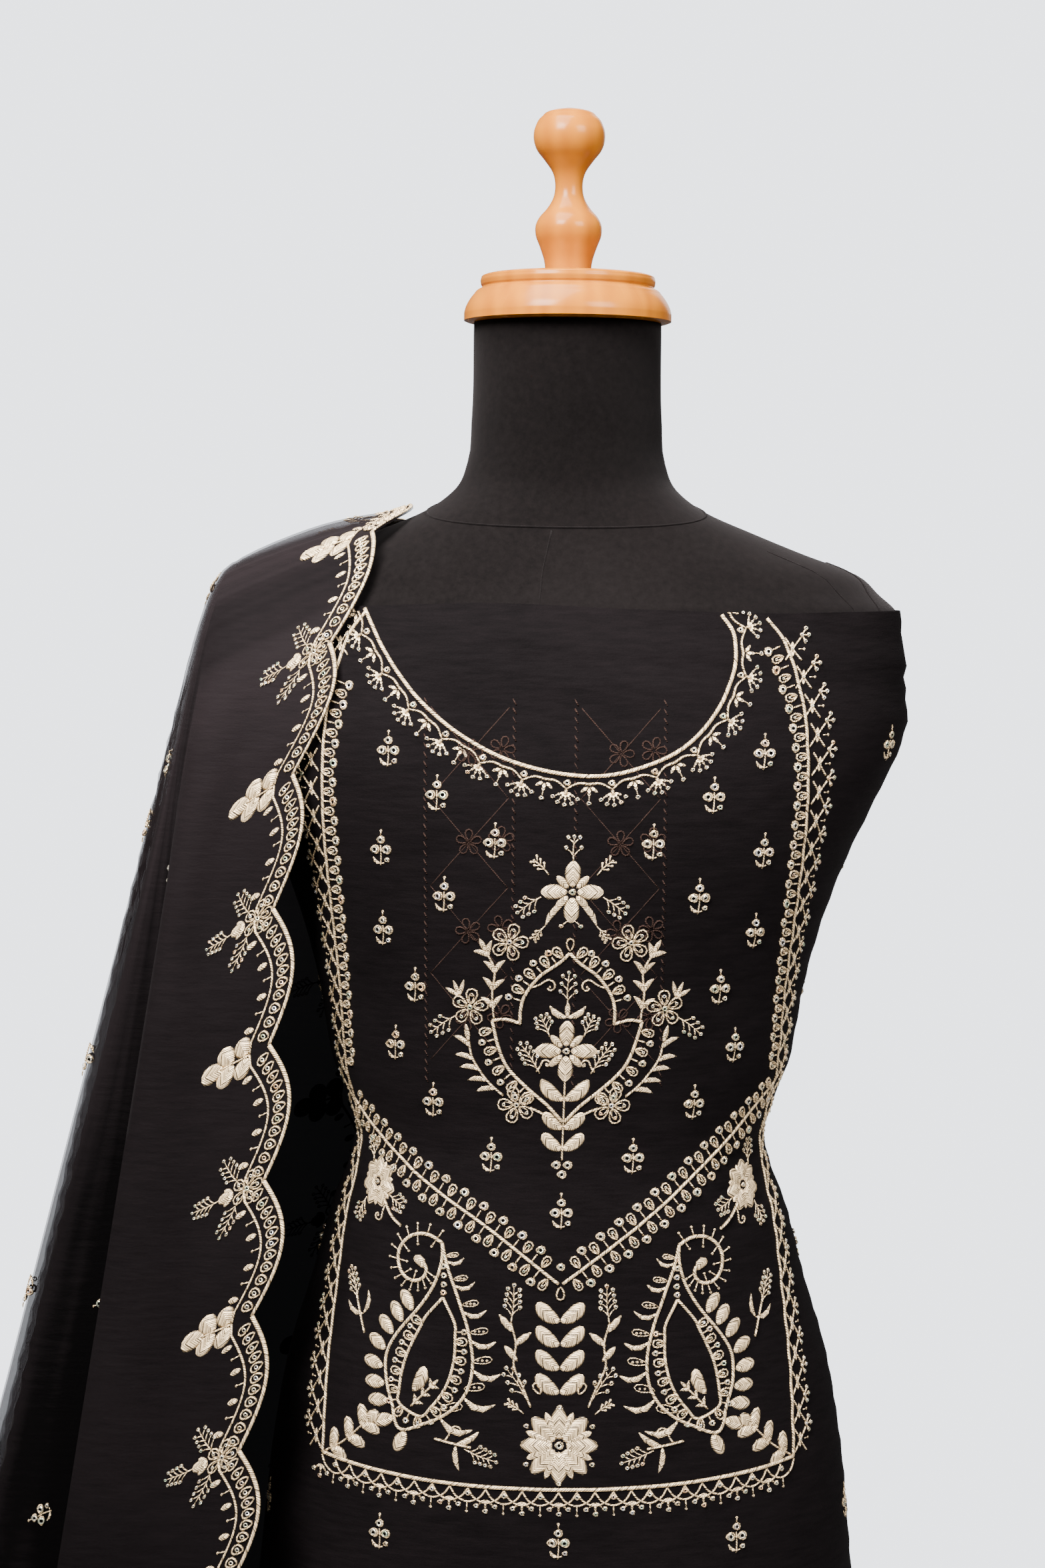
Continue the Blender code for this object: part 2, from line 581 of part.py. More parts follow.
def build_dupatta(cloth):
    """The scalloped cloth with its thickness."""
    drape = Drape()
    folds = fold_lines(drape)
    outline, found = scalloped_outline([line[-1] for line in folds])
    border = list(range(len(outline)))
    flat = list(outline)
    edges = []
    rows = np.linspace(STRIP_END - DUPATTA_BACK, DUPATTA_FRONT - STRIP_END, STRIP_ROWS)
    for across in STRIP_LINES:
        edges += [(len(flat) + i, len(flat) + i + 1) for i in range(len(rows) - 1)]
        flat += [(along, across) for along in rows]
    for number, line in enumerate(folds):
        edges += [(len(flat) + i, len(flat) + i + 1) for i in range(len(line) - 2)]
        flat += line[:-1]
        edges.append((len(flat) - 1, found[number]))
    result = delaunay_2d_cdt([tuple(p) for p in flat], edges, [border], 1, 1e-6)
    flat, _edges, triangles = result[0], result[1], result[2]
    middle = np.array([drape.point(*p) for p in flat])
    step = NORMAL_STEP
    ahead = np.array([drape.point(p[0] + step, p[1]) - drape.point(p[0] - step, p[1])
                      for p in flat])
    aside = np.array([drape.point(p[0], p[1] + step) - drape.point(p[0], p[1] - step)
                      for p in flat])
    normal = np.cross(ahead, aside)
    normal /= np.linalg.norm(normal, axis=1)[:, None]
    for a, b, c in triangles:
        face = np.cross(middle[b] - middle[a], middle[c] - middle[a])
        face /= np.linalg.norm(face)
        for v in (a, b, c):
            lean = float(normal[v] @ face)
            if lean < LEAST_LEAN:
                normal[v] += (LEAST_LEAN - lean) * face
                normal[v] /= np.linalg.norm(normal[v])
    points = np.vstack([middle + normal * CLOTH / 2, middle - normal * CLOTH / 2])
    count = len(middle)
    faces = [tuple(t) for t in triangles]
    faces += [(a + count, c + count, b + count) for a, b, c in triangles]
    for i, a in enumerate(border):
        b = border[(i + 1) % len(border)]
        faces.append((b, a, a + count, b + count))
    make_object("dupatta", points, faces, cloth)


# ---------------------------------------------------------------- build
for old in list(bpy.data.objects):
    bpy.data.objects.remove(old, do_unlink=True)

GEORGETTE = finish("georgette", (0.022, 0.014, 0.013), 0.75)
CREPE = finish("crepe", (0.020, 0.016, 0.016), 0.70)
JERSEY = finish("jersey", (0.030, 0.022, 0.021), 0.90)
WOOD = finish("varnished_wood", (0.66, 0.40, 0.20), 0.25)

build_form(JERSEY)
build_stand(WOOD)
build_kameez(GEORGETTE)
build_salwar(CREPE)
build_dupatta(GEORGETTE)
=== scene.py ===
"""Looks of a black embroidered salwar kameez suit on a limbless dress form.

Sizes are in metres, but flat embroidery is drawn in millimetres and then laid on the
cloth. The origin is under the middle of the stand's base, +Z is up and the suit faces -Y.
"""

import math

import bpy
import numpy as np
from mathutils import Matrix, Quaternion, Vector


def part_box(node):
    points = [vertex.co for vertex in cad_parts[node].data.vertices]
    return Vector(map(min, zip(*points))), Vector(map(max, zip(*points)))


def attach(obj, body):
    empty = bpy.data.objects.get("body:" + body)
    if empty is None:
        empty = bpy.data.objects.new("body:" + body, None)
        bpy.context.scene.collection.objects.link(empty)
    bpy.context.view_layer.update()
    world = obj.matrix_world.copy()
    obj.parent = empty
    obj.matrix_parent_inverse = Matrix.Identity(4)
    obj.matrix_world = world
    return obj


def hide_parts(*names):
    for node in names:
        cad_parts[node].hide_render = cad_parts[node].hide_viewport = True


bl_info = {
    "name": "Embroidered Suit",
    "version": (1, 0, 0),
    "blender": (4, 5, 0),
    "location": "3D View > Sidebar > Suit",
    "description": "Dresses a packed salwar kameez suit and its dress form",
    "category": "Object",
}

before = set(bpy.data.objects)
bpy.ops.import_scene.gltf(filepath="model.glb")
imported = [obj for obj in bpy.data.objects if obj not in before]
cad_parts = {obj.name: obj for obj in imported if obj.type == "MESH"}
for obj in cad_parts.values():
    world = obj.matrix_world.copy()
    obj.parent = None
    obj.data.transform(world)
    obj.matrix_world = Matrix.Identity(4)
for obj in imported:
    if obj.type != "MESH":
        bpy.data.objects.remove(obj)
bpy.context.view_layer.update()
BODY = "root"
MM = 0.001

# ---------------------------------------------------------------- sizes
CLOTH = 0.0012          # thickness of every cloth wall
SEAM = 0.0003
RING_POWER = 2.3        # squareness of the torso's horizontal sections
NECK_ROUND = (1.400, 1.440)

KAMEEZ_TOP = 1.357
KAMEEZ_HEM = 0.280
SLIT_TOP = 0.680
SLIT_SPREAD = math.radians(9.0)
FLUTES = 9
FLUTE_DEPTH = 0.0090
FLUTE_TOP = 0.800
FLUTE_GROWTH = 1.3
FLUTE_PHASE = 0.6

BELT_TOP = 0.985
BELT_BOTTOM = 0.940
SEAT_BOTTOM = 0.655
LEG_BOTTOM = 0.160
CUFF_BOTTOM = 0.100
LEG_GATHERS = 10
GATHER_DEPTH = 0.0035
GATHER_RISE = 0.050

DUPATTA_WIDTH = 0.880
DUPATTA_FRONT = 1.015   # cloth length from the shoulder ridge to the front end
DUPATTA_BACK = 1.065    # and to the back end
SCALLOP = 0.080
SCALLOP_DEPTH = 0.015
STRIP = 0.099           # cloth width that lies on the shoulder
STRIP_FLAT = 0.050
STRIP_CROWN = 0.006
STRIP_ROLL = 0.006
TIP = (-0.199, 0.0, 1.3835)
HANG_DRIFT = 0.05
FOLD_ROUND = 0.85
FOLD_START = 0.05
FOLD_FULL = 0.42
HANG_SLOPE = 0.150
HANG_SPREAD = 0.100
DRAPE_DEPTH = 0.070
DRAPE_SPREAD = 0.080
DRAPE_ROUND = 0.030
TIP_BULGE = 0.0147
TIP_ROUND = 0.015
BULGE_FROM = 0.15       # share of its height that the bulge has at front and back
CROWN_FADE = 0.050
ROLL_START = 0.200
EDGE_LIFT = 0.012
LONGEST_LINE = 1.36
DROP_POWER = 1.6        # sets the steps of a line closer near the shoulder
RIPPLES = 39            # small gathers that radiate from the shoulder's tip
RIPPLE_DEPTH = 0.0105   # how deep they are for each metre from it
TURN_SPACING_AT = 0.6

# Height, half width, depth to the front, depth to the back.
FORM_ROWS = MM * np.array([
    (700, 125, 79, 85), (710, 150, 95, 102), (760, 168, 106, 116), (820, 168, 108.5, 117),
    (880, 162.5, 106.5, 115), (940, 146, 100, 102), (985, 134.5, 94.5, 89),
    (1036, 123.5, 90, 77), (1083, 137.5, 94.5, 80), (1132, 147, 105, 86),
    (1170, 157.5, 116, 92), (1206, 171, 124, 96.5), (1243, 188.5, 124.5, 99),
    (1280, 205, 118, 100), (1318, 205.2, 107.5, 97.5), (1345, 204.5, 97.5, 90),
    (1357, 202.5, 92, 85), (1366, 192.5, 85, 78), (1378, 179, 76.5, 71),
    (1391, 144.5, 68, 65), (1403, 114.5, 61, 61), (1415, 86.5, 56.5, 58),
    (1428, 68.5, 53, 56), (1445, 60.5, 52, 55), (1470, 58.2, 52.5, 54),
    (1529.7, 57.2, 53, 53),
])
KAMEEZ_ROWS = MM * np.array([
    (280, 232, 150, 148), (520, 206, 139, 140), (762.5, 184, 124, 132),
    (850, 175, 119, 128.5), (899, 166, 116.5, 123), (948, 151.2, 114, 112),
    (985, 141.5, 112, 100), (1036, 125.6, 108.5, 84), (1083, 141, 112, 87),
    (1132, 150, 118, 92), (1170, 160.5, 124, 96.5), (1206, 174, 127.5, 99.5),
    (1243, 191.5, 127, 101.5), (1280, 207.5, 120.5, 102.2), (1318, 207.3, 110, 99.8),
    (1357, 205, 94.5, 87.5),
])
SEAT_ROWS = MM * np.array([
    (655, 176, 113, 121), (760, 176, 114, 123.5), (820, 173, 114, 122.5),
    (880, 166.5, 111.5, 119.5), (940, 148.4, 102.3, 104.4), (985, 136.4, 96.4, 90.9),
])
# Height, centre x, half width, half depth, centre y.
LEG_ROWS = {
    "left": MM * np.array([(100, 56, 76, 60, 4), (160, 57, 78, 63, 4),
                           (380, 70, 90, 84, 4), (654.7, 77.5, 97.5, 100, 4)]),
    "right": MM * np.array([(100, -96, 64, 60, 4), (160, -97, 66, 63, 4),
                            (380, -103, 73, 84, 4), (654.7, -102.5, 73.5, 100, 4)]),
}
PANEL_LOW = 851         # height of the corners of the kameez's panel, in millimetres
LEAN = 0.0268           # slope of the chest motifs to the right
LEAN_FROM = 1.030       # and the height where it starts

# Turned wood: height and radius up each profile.
FINIAL_ROWS = MM * np.array([
    (1559.5, 13.7), (1568, 14.8), (1576, 17.4), (1583.5, 20.1), (1589.5, 20),
    (1594, 17.8), (1598.9, 13.5), (1605, 9.8), (1613, 8.4), (1621, 10), (1628.4, 15),
    (1634, 19.4), (1642, 21.8), (1649, 20.6), (1654.5, 17), (1658.5, 10), (1659.8, 3),
])
CAP_ROWS = MM * np.array([
    (1530, 60), (1530.6, 62.2), (1533.5, 63.3), (1537, 63), (1542, 61), (1547, 57.5),
    (1550, 54.5), (1550.8, 52.8), (1553, 53.1), (1556.5, 53.1), (1558.5, 51.5),
    (1559.2, 49),
])
UNDER_ROWS = MM * np.array([
    (1206, 175.3, 128.8, 100.8), (1243, 192.4, 127.7, 102.2), (1280, 208.4, 121.2, 102.9),
    (1318, 207.6, 110.2, 100), (1357, 205.3, 94.6, 87.7), (1378, 187.2, 80.8, 76.8),
    (1393, 156, 76, 74), (1405, 126, 68, 68), (1414.5, 106, 61, 62),
])
# The dupatta's inner edge, down the front and down the back: height, x.
EDGE_FRONT = MM * np.array([
    (280, -232), (600, -207), (829, -189), (901, -185), (971, -177), (1046, -173),
    (1124, -171), (1191, -169), (1272, -156), (1338, -137), (1389, -122.5), (1414.5, -106),
])
EDGE_BACK = MM * np.array([
    (280, -180), (700, -150), (900, -136), (1040, -128), (1150, -128), (1270, -127),
    (1340, -123), (1390, -115), (1414.5, -106),
])
# Share of the drape's depth at each turn of the cloth, and the outward slope there.
FOLD_TURNS = np.array([
    (0.000, 0.150), (0.085, 0.020), (0.155, 0.228), (0.245, 0.050), (0.315, 0.240),
    (0.420, 0.075), (0.500, 0.252), (0.590, 0.055), (0.660, 0.228), (0.760, 0.040),
    (0.830, 0.235), (0.925, 0.010), (1.000, 0.080),
])
TURNS = len(FOLD_TURNS) - 1


# ---------------------------------------------------------------- settings
def colour_property(name, description, default):
    """A linear colour that a user can change."""
    return bpy.props.FloatVectorProperty(
        name=name, description=description, default=default, size=3,
        min=0.0, max=1.0, subtype="COLOR")


def length_property(name, description, default):
    """A length that a user can change."""
    return bpy.props.FloatProperty(
        name=name, description=description, default=default, min=0.0,
        unit="LENGTH", precision=5)


class SuitColours(bpy.types.PropertyGroup):
    """Colours of the cloth, wood and thread."""

    georgette: colour_property("Georgette", "Kameez and dupatta cloth",
                               (0.0038, 0.0028, 0.0030))
    crepe: colour_property("Crepe", "Salwar cloth", (0.0054, 0.0042, 0.0044))
    jersey: colour_property("Jersey", "Cover of the dress form", (0.0038, 0.0029, 0.0028))
    wood_light: colour_property("Light wood", "Pale grain of the wood",
                                (0.480, 0.160, 0.006))
    wood_dark: colour_property("Dark wood", "Deep grain of the wood", (0.300, 0.082, 0.004))
    thread: colour_property("Thread", "Champagne embroidery thread", (0.500, 0.362, 0.205))
    sequin: colour_property("Sequin", "Pale gold sequins", (0.950, 0.840, 0.600))
    under_thread: colour_property("Under thread", "Embroidery dimmed by the cloth",
                                  (0.040, 0.0235, 0.0190))
    floor: colour_property("Floor", "Floor of the stage", (0.930, 0.932, 0.940))


class SuitSizes(bpy.types.PropertyGroup):
    """Sizes of the needlework."""

    rope_width: length_property("Rope width", "Width of the satin rope", 0.0021)
    vine_width: length_property("Vine width", "Width of thin stems and outlines", 0.0011)
    thread_height: length_property("Thread height", "How far a rope stands up", 0.0011)
    sequin_radius: length_property("Sequin radius", "Radius of a common sequin", 0.0016)
    panel_half: length_property("Panel half width", "Middle of the kameez to its side rope",
                                0.150)
    border_band: length_property("Border band", "Dupatta's outer rope to its inner rope",
                                 0.0140)
    butti_across: length_property("Butti spacing across", "Spacing of the scattered sprigs",
                                  0.108)
    butti_down: length_property("Butti spacing down", "Height between rows of sprigs",
                                0.078)


class SuitStage(bpy.types.PropertyGroup):
    """Camera and light."""

    lens: bpy.props.FloatProperty(name="Lens", description="Focal length of the camera",
                                  default=74.7, min=1.0, unit="CAMERA")
    roll: bpy.props.FloatProperty(name="Roll", description="Tilt of the camera",
                                  default=math.radians(0.52), subtype="ANGLE")
    background: colour_property("Background", "Colour behind the suit",
                                (0.770, 0.800, 0.855))
    glow: bpy.props.FloatProperty(name="Glow", description="How bright it looks",
                                  default=3.6, min=0.0)
    ambient: bpy.props.FloatProperty(name="Ambient", description="How much it lights",
                                     default=0.18, min=0.0)


def colours():
    """The suit's colours."""
    return bpy.context.scene.suit_colours


def sizes():
    """The needlework's sizes."""
    return bpy.context.scene.suit_sizes


# ---------------------------------------------------------------- reading tables
def sample(rows, heights):
    """Read every column of a table at the given heights along a smooth curve."""
    z = rows[:, 0]
    heights = np.clip(np.asarray(heights, dtype=float), z[0], z[-1])
    slope = np.gradient(rows, z, axis=0)
    i = np.clip(np.searchsorted(z, heights, side="right") - 1, 0, len(z) - 2)
    step = z[i + 1] - z[i]
    t = ((heights - z[i]) / step)[..., None]
    step = step[..., None]
    return between(t, rows[i], rows[i + 1], slope[i] * step, slope[i + 1] * step)


def between(t, a, b, slope_a, slope_b):
    """A smooth curve from a to b that leaves and arrives at the given slopes."""
    return ((2 * t**3 - 3 * t**2 + 1) * a + (t**3 - 2 * t**2 + t) * slope_a
            + (3 * t**2 - 2 * t**3) * b + (t**3 - t**2) * slope_b)


def distances(line):
    """How far along a line each of its points is; points are rows or complex."""
    steps = np.diff(line, axis=0)
    steps = np.linalg.norm(steps, axis=1) if steps.ndim == 2 else np.abs(steps)
    return np.concatenate([[0.0], np.cumsum(steps)])


def ease(x):
    """Smooth step from 0 to 1."""
    x = np.clip(x, 0.0, 1.0)
    return x * x * (3.0 - 2.0 * x)


def hump(x, centre, width):
    """A soft rise of height 1 round a centre."""
    return np.exp(-((x - centre) / width) ** 2)


def ripple(phase):
    """A wave between 0 and 1."""
    return 0.5 + 0.5 * np.sin(phase)


def ring_point(half_width, front, back, angle, power=RING_POWER):
    """A point of a horizontal section; the front is at negative y."""
    c, s = np.cos(angle), np.sin(angle)
    depth = np.where(s < 0, front, back)
    x = half_width * np.sign(c) * np.abs(c) ** (2.0 / power)
    y = depth * np.sign(s) * np.abs(s) ** (2.0 / power)
    return x, y


def unit(vectors):
    """Vectors scaled to length 1."""
    return vectors / np.maximum(np.linalg.norm(vectors, axis=-1, keepdims=True), 1e-12)


# ---------------------------------------------------------------- meshes
def mesh_piece(name, points, faces, material, uvs=None, sharp=None, edge=None):
    """A smooth-shaded object at the origin; uvs has one pair for each point."""
    mesh = bpy.data.meshes.new(name)
    mesh.from_pydata(np.asarray(points, dtype=float).tolist(), [], faces)
    mesh.materials.append(material)
    if uvs is not None:
        layer = mesh.uv_layers.new(name="flat")
        corner = np.empty(len(mesh.loops), dtype=np.int32)
        mesh.loops.foreach_get("vertex_index", corner)
        layer.data.foreach_set("uv", np.asarray(uvs, dtype=np.float32)[corner].ravel())
    # edge holds a mask for the painted shade at a thread's foot.
    if edge is not None:
        mesh.attributes.new("edge", "FLOAT", "POINT").data.foreach_set(
            "value", np.asarray(edge, dtype=np.float32))
    obj = bpy.data.objects.new(name, mesh)
    bpy.context.scene.collection.objects.link(obj)
    mesh.shade_smooth()
    if sharp is not None:
        mesh.set_sharp_from_angle(angle=sharp)
    return obj


def grid_quads(rows, cols, closed, first=0, flip=False):
    """Faces of a grid of points whose rows are laid end to end."""
    i = np.arange(rows - 1)[:, None] * cols
    j = np.arange(cols if closed else cols - 1)[None, :]
    k = (j + 1) % cols
    quads = np.stack([i + j, i + k, i + cols + k, i + cols + j], axis=-1).reshape(-1, 4)
    quads = quads + first
    return quads[:, ::-1] if flip else quads


def wall_piece(name, outer, closed, material):
    """A cloth wall from its outer face: rows go up and columns go anticlockwise."""
    rows, cols, _ = outer.shape
    if closed:
        aside = np.roll(outer, -1, axis=1) - np.roll(outer, 1, axis=1)
    else:
        aside = np.gradient(outer, axis=1)
    flat = unit(aside * np.array([1.0, 1.0, 0.0]))
    inner = outer + CLOTH * np.stack([-flat[..., 1], flat[..., 0], 0 * flat[..., 0]], -1)
    count = rows * cols
    faces = [grid_quads(rows, cols, closed),
             grid_quads(rows, cols, closed, count, flip=True)]
    j = np.arange(cols if closed else cols - 1)
    k = (j + 1) % cols
    top = (rows - 1) * cols
    faces.append(np.stack([j, j + count, k + count, k], axis=-1))
    faces.append(np.stack([top + j, top + k, top + k + count, top + j + count], axis=-1))
    if not closed:
        a = np.arange(rows - 1) * cols
        d, last = a + cols, cols - 1
        faces.append(np.stack([a, d, d + count, a + count], axis=-1))
        faces.append(np.stack([a + last, a + last + count, d + last + count, d + last],
                              axis=-1))
    points = np.concatenate([outer.reshape(-1, 3), inner.reshape(-1, 3)])
    return mesh_piece(name, points, np.concatenate(faces).tolist(), material,
                      sharp=math.radians(50.0))


def rings_piece(name, rings, material, sharp=None):
    """A closed body through horizontal rings, with a flat lid at each end."""
    rows, cols, _ = rings.shape
    faces = grid_quads(rows, cols, True).tolist()
    faces.append(list(range(cols))[::-1])
    faces.append([(rows - 1) * cols + j for j in range(cols)])
    return mesh_piece(name, rings.reshape(-1, 3), faces, material, sharp=sharp)


def dress(piece, *nodes, slot):
    """Let a finished piece ride on the body and stand for CAD nodes."""
    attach(piece, BODY)
    if nodes:
        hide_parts(*nodes)


# ---------------------------------------------------------------- grounds
class Ground:
    """A cloth surface that flat points can be laid on.

    The grid holds a place for every step of u to the right and v upwards, so that
    their cross product points out of the cloth's right side.
    """

    def __init__(self, u, v, places):
        self.u, self.v, self.places = u, v, places
        right = np.gradient(places, axis=1)
        up = np.gradient(places, axis=0)
        self.normals = unit(np.cross(right, up))

    def lay(self, u, v, height):
        """Places of flat points raised by a height."""
        x = (np.clip(u, self.u[0], self.u[-1]) - self.u[0]) / (self.u[1] - self.u[0])
        y = (np.clip(v, self.v[0], self.v[-1]) - self.v[0]) / (self.v[1] - self.v[0])
        i = np.clip(x.astype(int), 0, len(self.u) - 2)
        j = np.clip(y.astype(int), 0, len(self.v) - 2)
        s, t = (x - i)[:, None], (y - j)[:, None]

        def read(grid):
            low = grid[j, i] * (1 - s) + grid[j, i + 1] * s
            high = grid[j + 1, i] * (1 - s) + grid[j + 1, i + 1] * s
            return low * (1 - t) + high * t

        normal = unit(read(self.normals))
        return read(self.places) + normal * np.asarray(height)[:, None], normal


# ---------------------------------------------------------------- kameez surface
def kameez_creases(across, height):
    """How far the kameez stands out in soft creases; across is x on the front."""
    # Two folds under the top edge.
    top = 0.0016 * hump(height, 1.337 - 0.055 * across, 0.0065)
    top = top + 0.0012 * hump(height, 1.316 - 0.11 * across, 0.008)
    # Gathers under the left arm, and at both sides of the waist.
    arm = 0.0014 * hump(across, 0.195, 0.035) * hump(height, 1.31, 0.035)
    arm = arm * ripple((height + 0.35 * across) * 420.0)
    waist = 0.0011 * hump(height, 1.045, 0.035) * ease((np.abs(across) - 0.07) / 0.05)
    waist = waist * ripple((height - 0.25 * np.abs(across)) * 230.0)
    # A fine grain all over, and calm cloth where the dupatta lies on it.
    grain = 0.0005 * ripple(height * 310.0 + 9.0 * np.sin(across * 24.0))
    clear = ease((across + 0.115) / 0.03)
    return (top + arm + grain) * clear + waist + grain * 0.3


def kameez_top_lift(across):
    """How the folded top edge wanders up and down."""
    return 0.0032 * hump(across, -0.045, 0.06) - 0.0016 * hump(across, 0.12, 0.05)


def kameez_faces(side, levels, columns):
    """Outer face of one panel: side 0 is the front, 1 the back."""
    share = np.linspace(0.0, 1.0, columns)[None, :]
    open_by = SLIT_SPREAD / math.pi * ease(
        (SLIT_TOP - levels) / (SLIT_TOP - KAMEEZ_HEM))[:, None]
    share = side + open_by + share * (1 - 2 * open_by)
    z = np.repeat(levels[:, None], columns, axis=1)
    row = sample(KAMEEZ_ROWS, z)
    x, y = ring_point(row[..., 1], row[..., 2], row[..., 3], math.pi * (1 + share))
    fall = np.clip((FLUTE_TOP - z) / (FLUTE_TOP - KAMEEZ_HEM), 0.0, 1.0)
    wave = FLUTE_DEPTH * fall**FLUTE_GROWTH * np.sin(FLUTES * math.pi * share + FLUTE_PHASE)
    if side == 0:
        wave = wave + kameez_creases(x, z)
    else:
        wave = wave + kameez_creases(-np.abs(x) - 0.2, z)
    size = np.hypot(x, y)
    places = np.stack([x * (1 + wave / size),
                       y * (1 + wave / size) + (SEAM / 2 if side else -SEAM / 2), z], -1)
    if side == 0:
        near_top = ease((z - (KAMEEZ_TOP - 0.05)) / 0.05)
        places[..., 2] += kameez_top_lift(x) * near_top
    return places


def kameez_ground(side, half=0.300):
    """The panel as a ground: u is cloth length from its middle, v is height."""
    levels = np.linspace(KAMEEZ_HEM, KAMEEZ_TOP, 300)
    faces = kameez_faces(side, levels, 201)
    run = np.cumsum(np.linalg.norm(np.diff(faces, axis=1), axis=2), axis=1)
    run = np.concatenate([np.zeros((len(levels), 1)), run], axis=1)
    run = run - run[:, 100:101]
    u = np.linspace(-half, half, 301)
    places = np.empty((len(levels), len(u), 3))
    for i in range(len(levels)):
        for c in range(3):
            places[i, :, c] = np.interp(u, run[i], faces[i, :, c])
    return Ground(u, levels, places)


# ---------------------------------------------------------------- dupatta surface
def by_length(line, lengths):
    """Points at given distances along a line of points."""
    run = distances(line)
    return np.stack([np.interp(lengths, run, line[:, c]) for c in range(3)], axis=-1)


def drape_half_depth(drop):
    """Half the drape's depth, front to back, at a drop below the shoulder tip."""
    return DRAPE_DEPTH * np.sqrt(1 - np.exp(-drop / DRAPE_ROUND)) + DRAPE_SPREAD * drop


def free_line(turn, drop):
    """A line of the free drape: turn 0 is its front, the last turn its back."""
    share = turn / TURNS
    i = min(int(turn), TURNS - 1)
    mix = 0.5 - 0.5 * math.cos(math.pi * (turn - i))
    folded = FOLD_TURNS[i, 1] * (1 - mix) + FOLD_TURNS[i + 1, 1] * mix
    step = turn - i + FOLD_ROUND / (2 * math.pi) * math.sin(2 * math.pi * (turn - i))
    swing = 1 - 2 * (FOLD_TURNS[i, 0] * (1 - step) + FOLD_TURNS[i + 1, 0] * step)
    plain = HANG_SLOPE + HANG_SPREAD * math.sin(math.pi * share)
    full = ease((drop - FOLD_START) / (FOLD_FULL - FOLD_START))
    slope = plain + (folded - plain) * full
    bulge = TIP_BULGE * np.sqrt(1 - np.exp(-drop / TIP_ROUND)) * math.sin(
        math.pi * (BULGE_FROM + (1 - 2 * BULGE_FROM) * share))
    x = TIP[0] - bulge - drop * slope
    smooth = math.cos(math.pi * share)
    y = -drape_half_depth(drop) * (smooth + (swing - smooth) * full)
    return np.stack([x, y, TIP[2] - drop], axis=-1)


def edge_line(rows, side, drop):
    """The inner edge: it lies on the chest or back and then hangs straight."""
    z = rows[-1, 0] - drop
    x = sample(rows, z)[:, 1]
    row = sample(UNDER_ROWS, z)
    reach = np.clip(np.abs(x + SCALLOP_DEPTH) / row[:, 1], 0.0, 1.0)
    depth = row[:, 2] if side < 0 else row[:, 3]
    depth = depth * (1 - reach**RING_POWER) ** (1 / RING_POWER)
    depth = depth * ease(drop / EDGE_LIFT) ** 0.5
    hang = np.maximum.accumulate(depth)
    hang = hang + HANG_DRIFT * np.clip(UNDER_ROWS[0, 0] - z, 0.0, None)
    return np.stack([x, side * hang, z], axis=-1)


class Drape:
    """The dupatta's surface as a function of its flat cloth, for arrays of points."""

    def __init__(self, length_steps=400, lines_per_turn=24, drop_steps=200):
        self.lengths = np.linspace(0.0, LONGEST_LINE, length_steps)
        drop = LONGEST_LINE * np.linspace(0.0, 1.0, drop_steps) ** DROP_POWER
        turn = np.linspace(0.0, TURNS, TURNS * lines_per_turn + 1)
        self.free = np.stack([by_length(free_line(t, drop), self.lengths) for t in turn])
        self.edge_front = by_length(edge_line(EDGE_FRONT, -1.0, drop), self.lengths)
        self.edge_back = by_length(edge_line(EDGE_BACK, 1.0, drop), self.lengths)
        level = np.searchsorted(self.lengths, TURN_SPACING_AT)
        run = distances(self.free[:, level])
        self.bearing = math.pi / 2 - math.pi * run / run[-1]

    def step_at(self, distance):
        """The step of a line that a distance falls in, and how far through it."""
        y = np.clip(distance / self.lengths[1], 0.0, len(self.lengths) - 1.001)
        j = y.astype(int)
        return j, (y - j)[:, None]

    def free_points(self, distance, bearing):
        """Points of the folds by their distance and bearing from the tip."""
        x = np.interp(-bearing, -self.bearing, np.arange(len(self.bearing)))
        i = np.clip(x.astype(int), 0, len(self.bearing) - 2)
        s = (x - i)[:, None]
        j, t = self.step_at(distance)
        low = self.free[i, j] * (1 - t) + self.free[i, j + 1] * t
        high = self.free[i + 1, j] * (1 - t) + self.free[i + 1, j + 1] * t
        hidden = ease((math.pi * 0.36 - bearing) / 0.30) * ease(
            (bearing + math.pi / 2) / 0.15)
        ripple = RIPPLE_DEPTH * distance * hidden * np.sin(2 * RIPPLES * bearing)
        aside = np.cross(self.free[i + 1, j] - self.free[i, j],
                         self.free[i, j + 1] - self.free[i, j])
        return low * (1 - s) + high * s + unit(aside) * ripple[:, None]

    def points(self, along, across):
        """Places of points of the flat cloth."""
        along, across = np.ravel(along), np.ravel(across)
        beyond = across - STRIP
        out = self.free_points(np.hypot(along, beyond), np.arctan2(along, beyond))
        strip = np.nonzero(beyond < 0)[0]
        if not len(strip):
            return out
        run, aside = along[strip], across[strip]
        side = np.where(run >= 0, 1.0, -1.0)
        distance = np.abs(run)
        j, t = self.step_at(distance)
        front, back = (line[j] * (1 - t) + line[j + 1] * t
                       for line in (self.edge_front, self.edge_back))
        edge = np.where(side[:, None] > 0, front, back)
        first = self.free_points(distance, side * math.pi / 2)
        gap = first - edge
        width = np.linalg.norm(gap, axis=1)
        crown = STRIP_CROWN * np.sin(math.pi * np.clip(aside / STRIP, 0.0, 1.0))
        edge[:, 2] += crown * np.exp(-distance / CROWN_FADE)
        t = np.clip((aside - STRIP_FLAT) / (STRIP - STRIP_FLAT), 0.0, 1.0)
        curved = between(t, STRIP_FLAT / width, 1.0, (STRIP - STRIP_FLAT) / width, 0.0)
        reach = np.where(aside <= STRIP_FLAT, aside / width, curved)
        place = edge + gap * reach[:, None]
        place[:, 1] -= side * STRIP_ROLL * ease(distance / ROLL_START) * t * (1 - t) * 4
        out[strip] = place
        return out


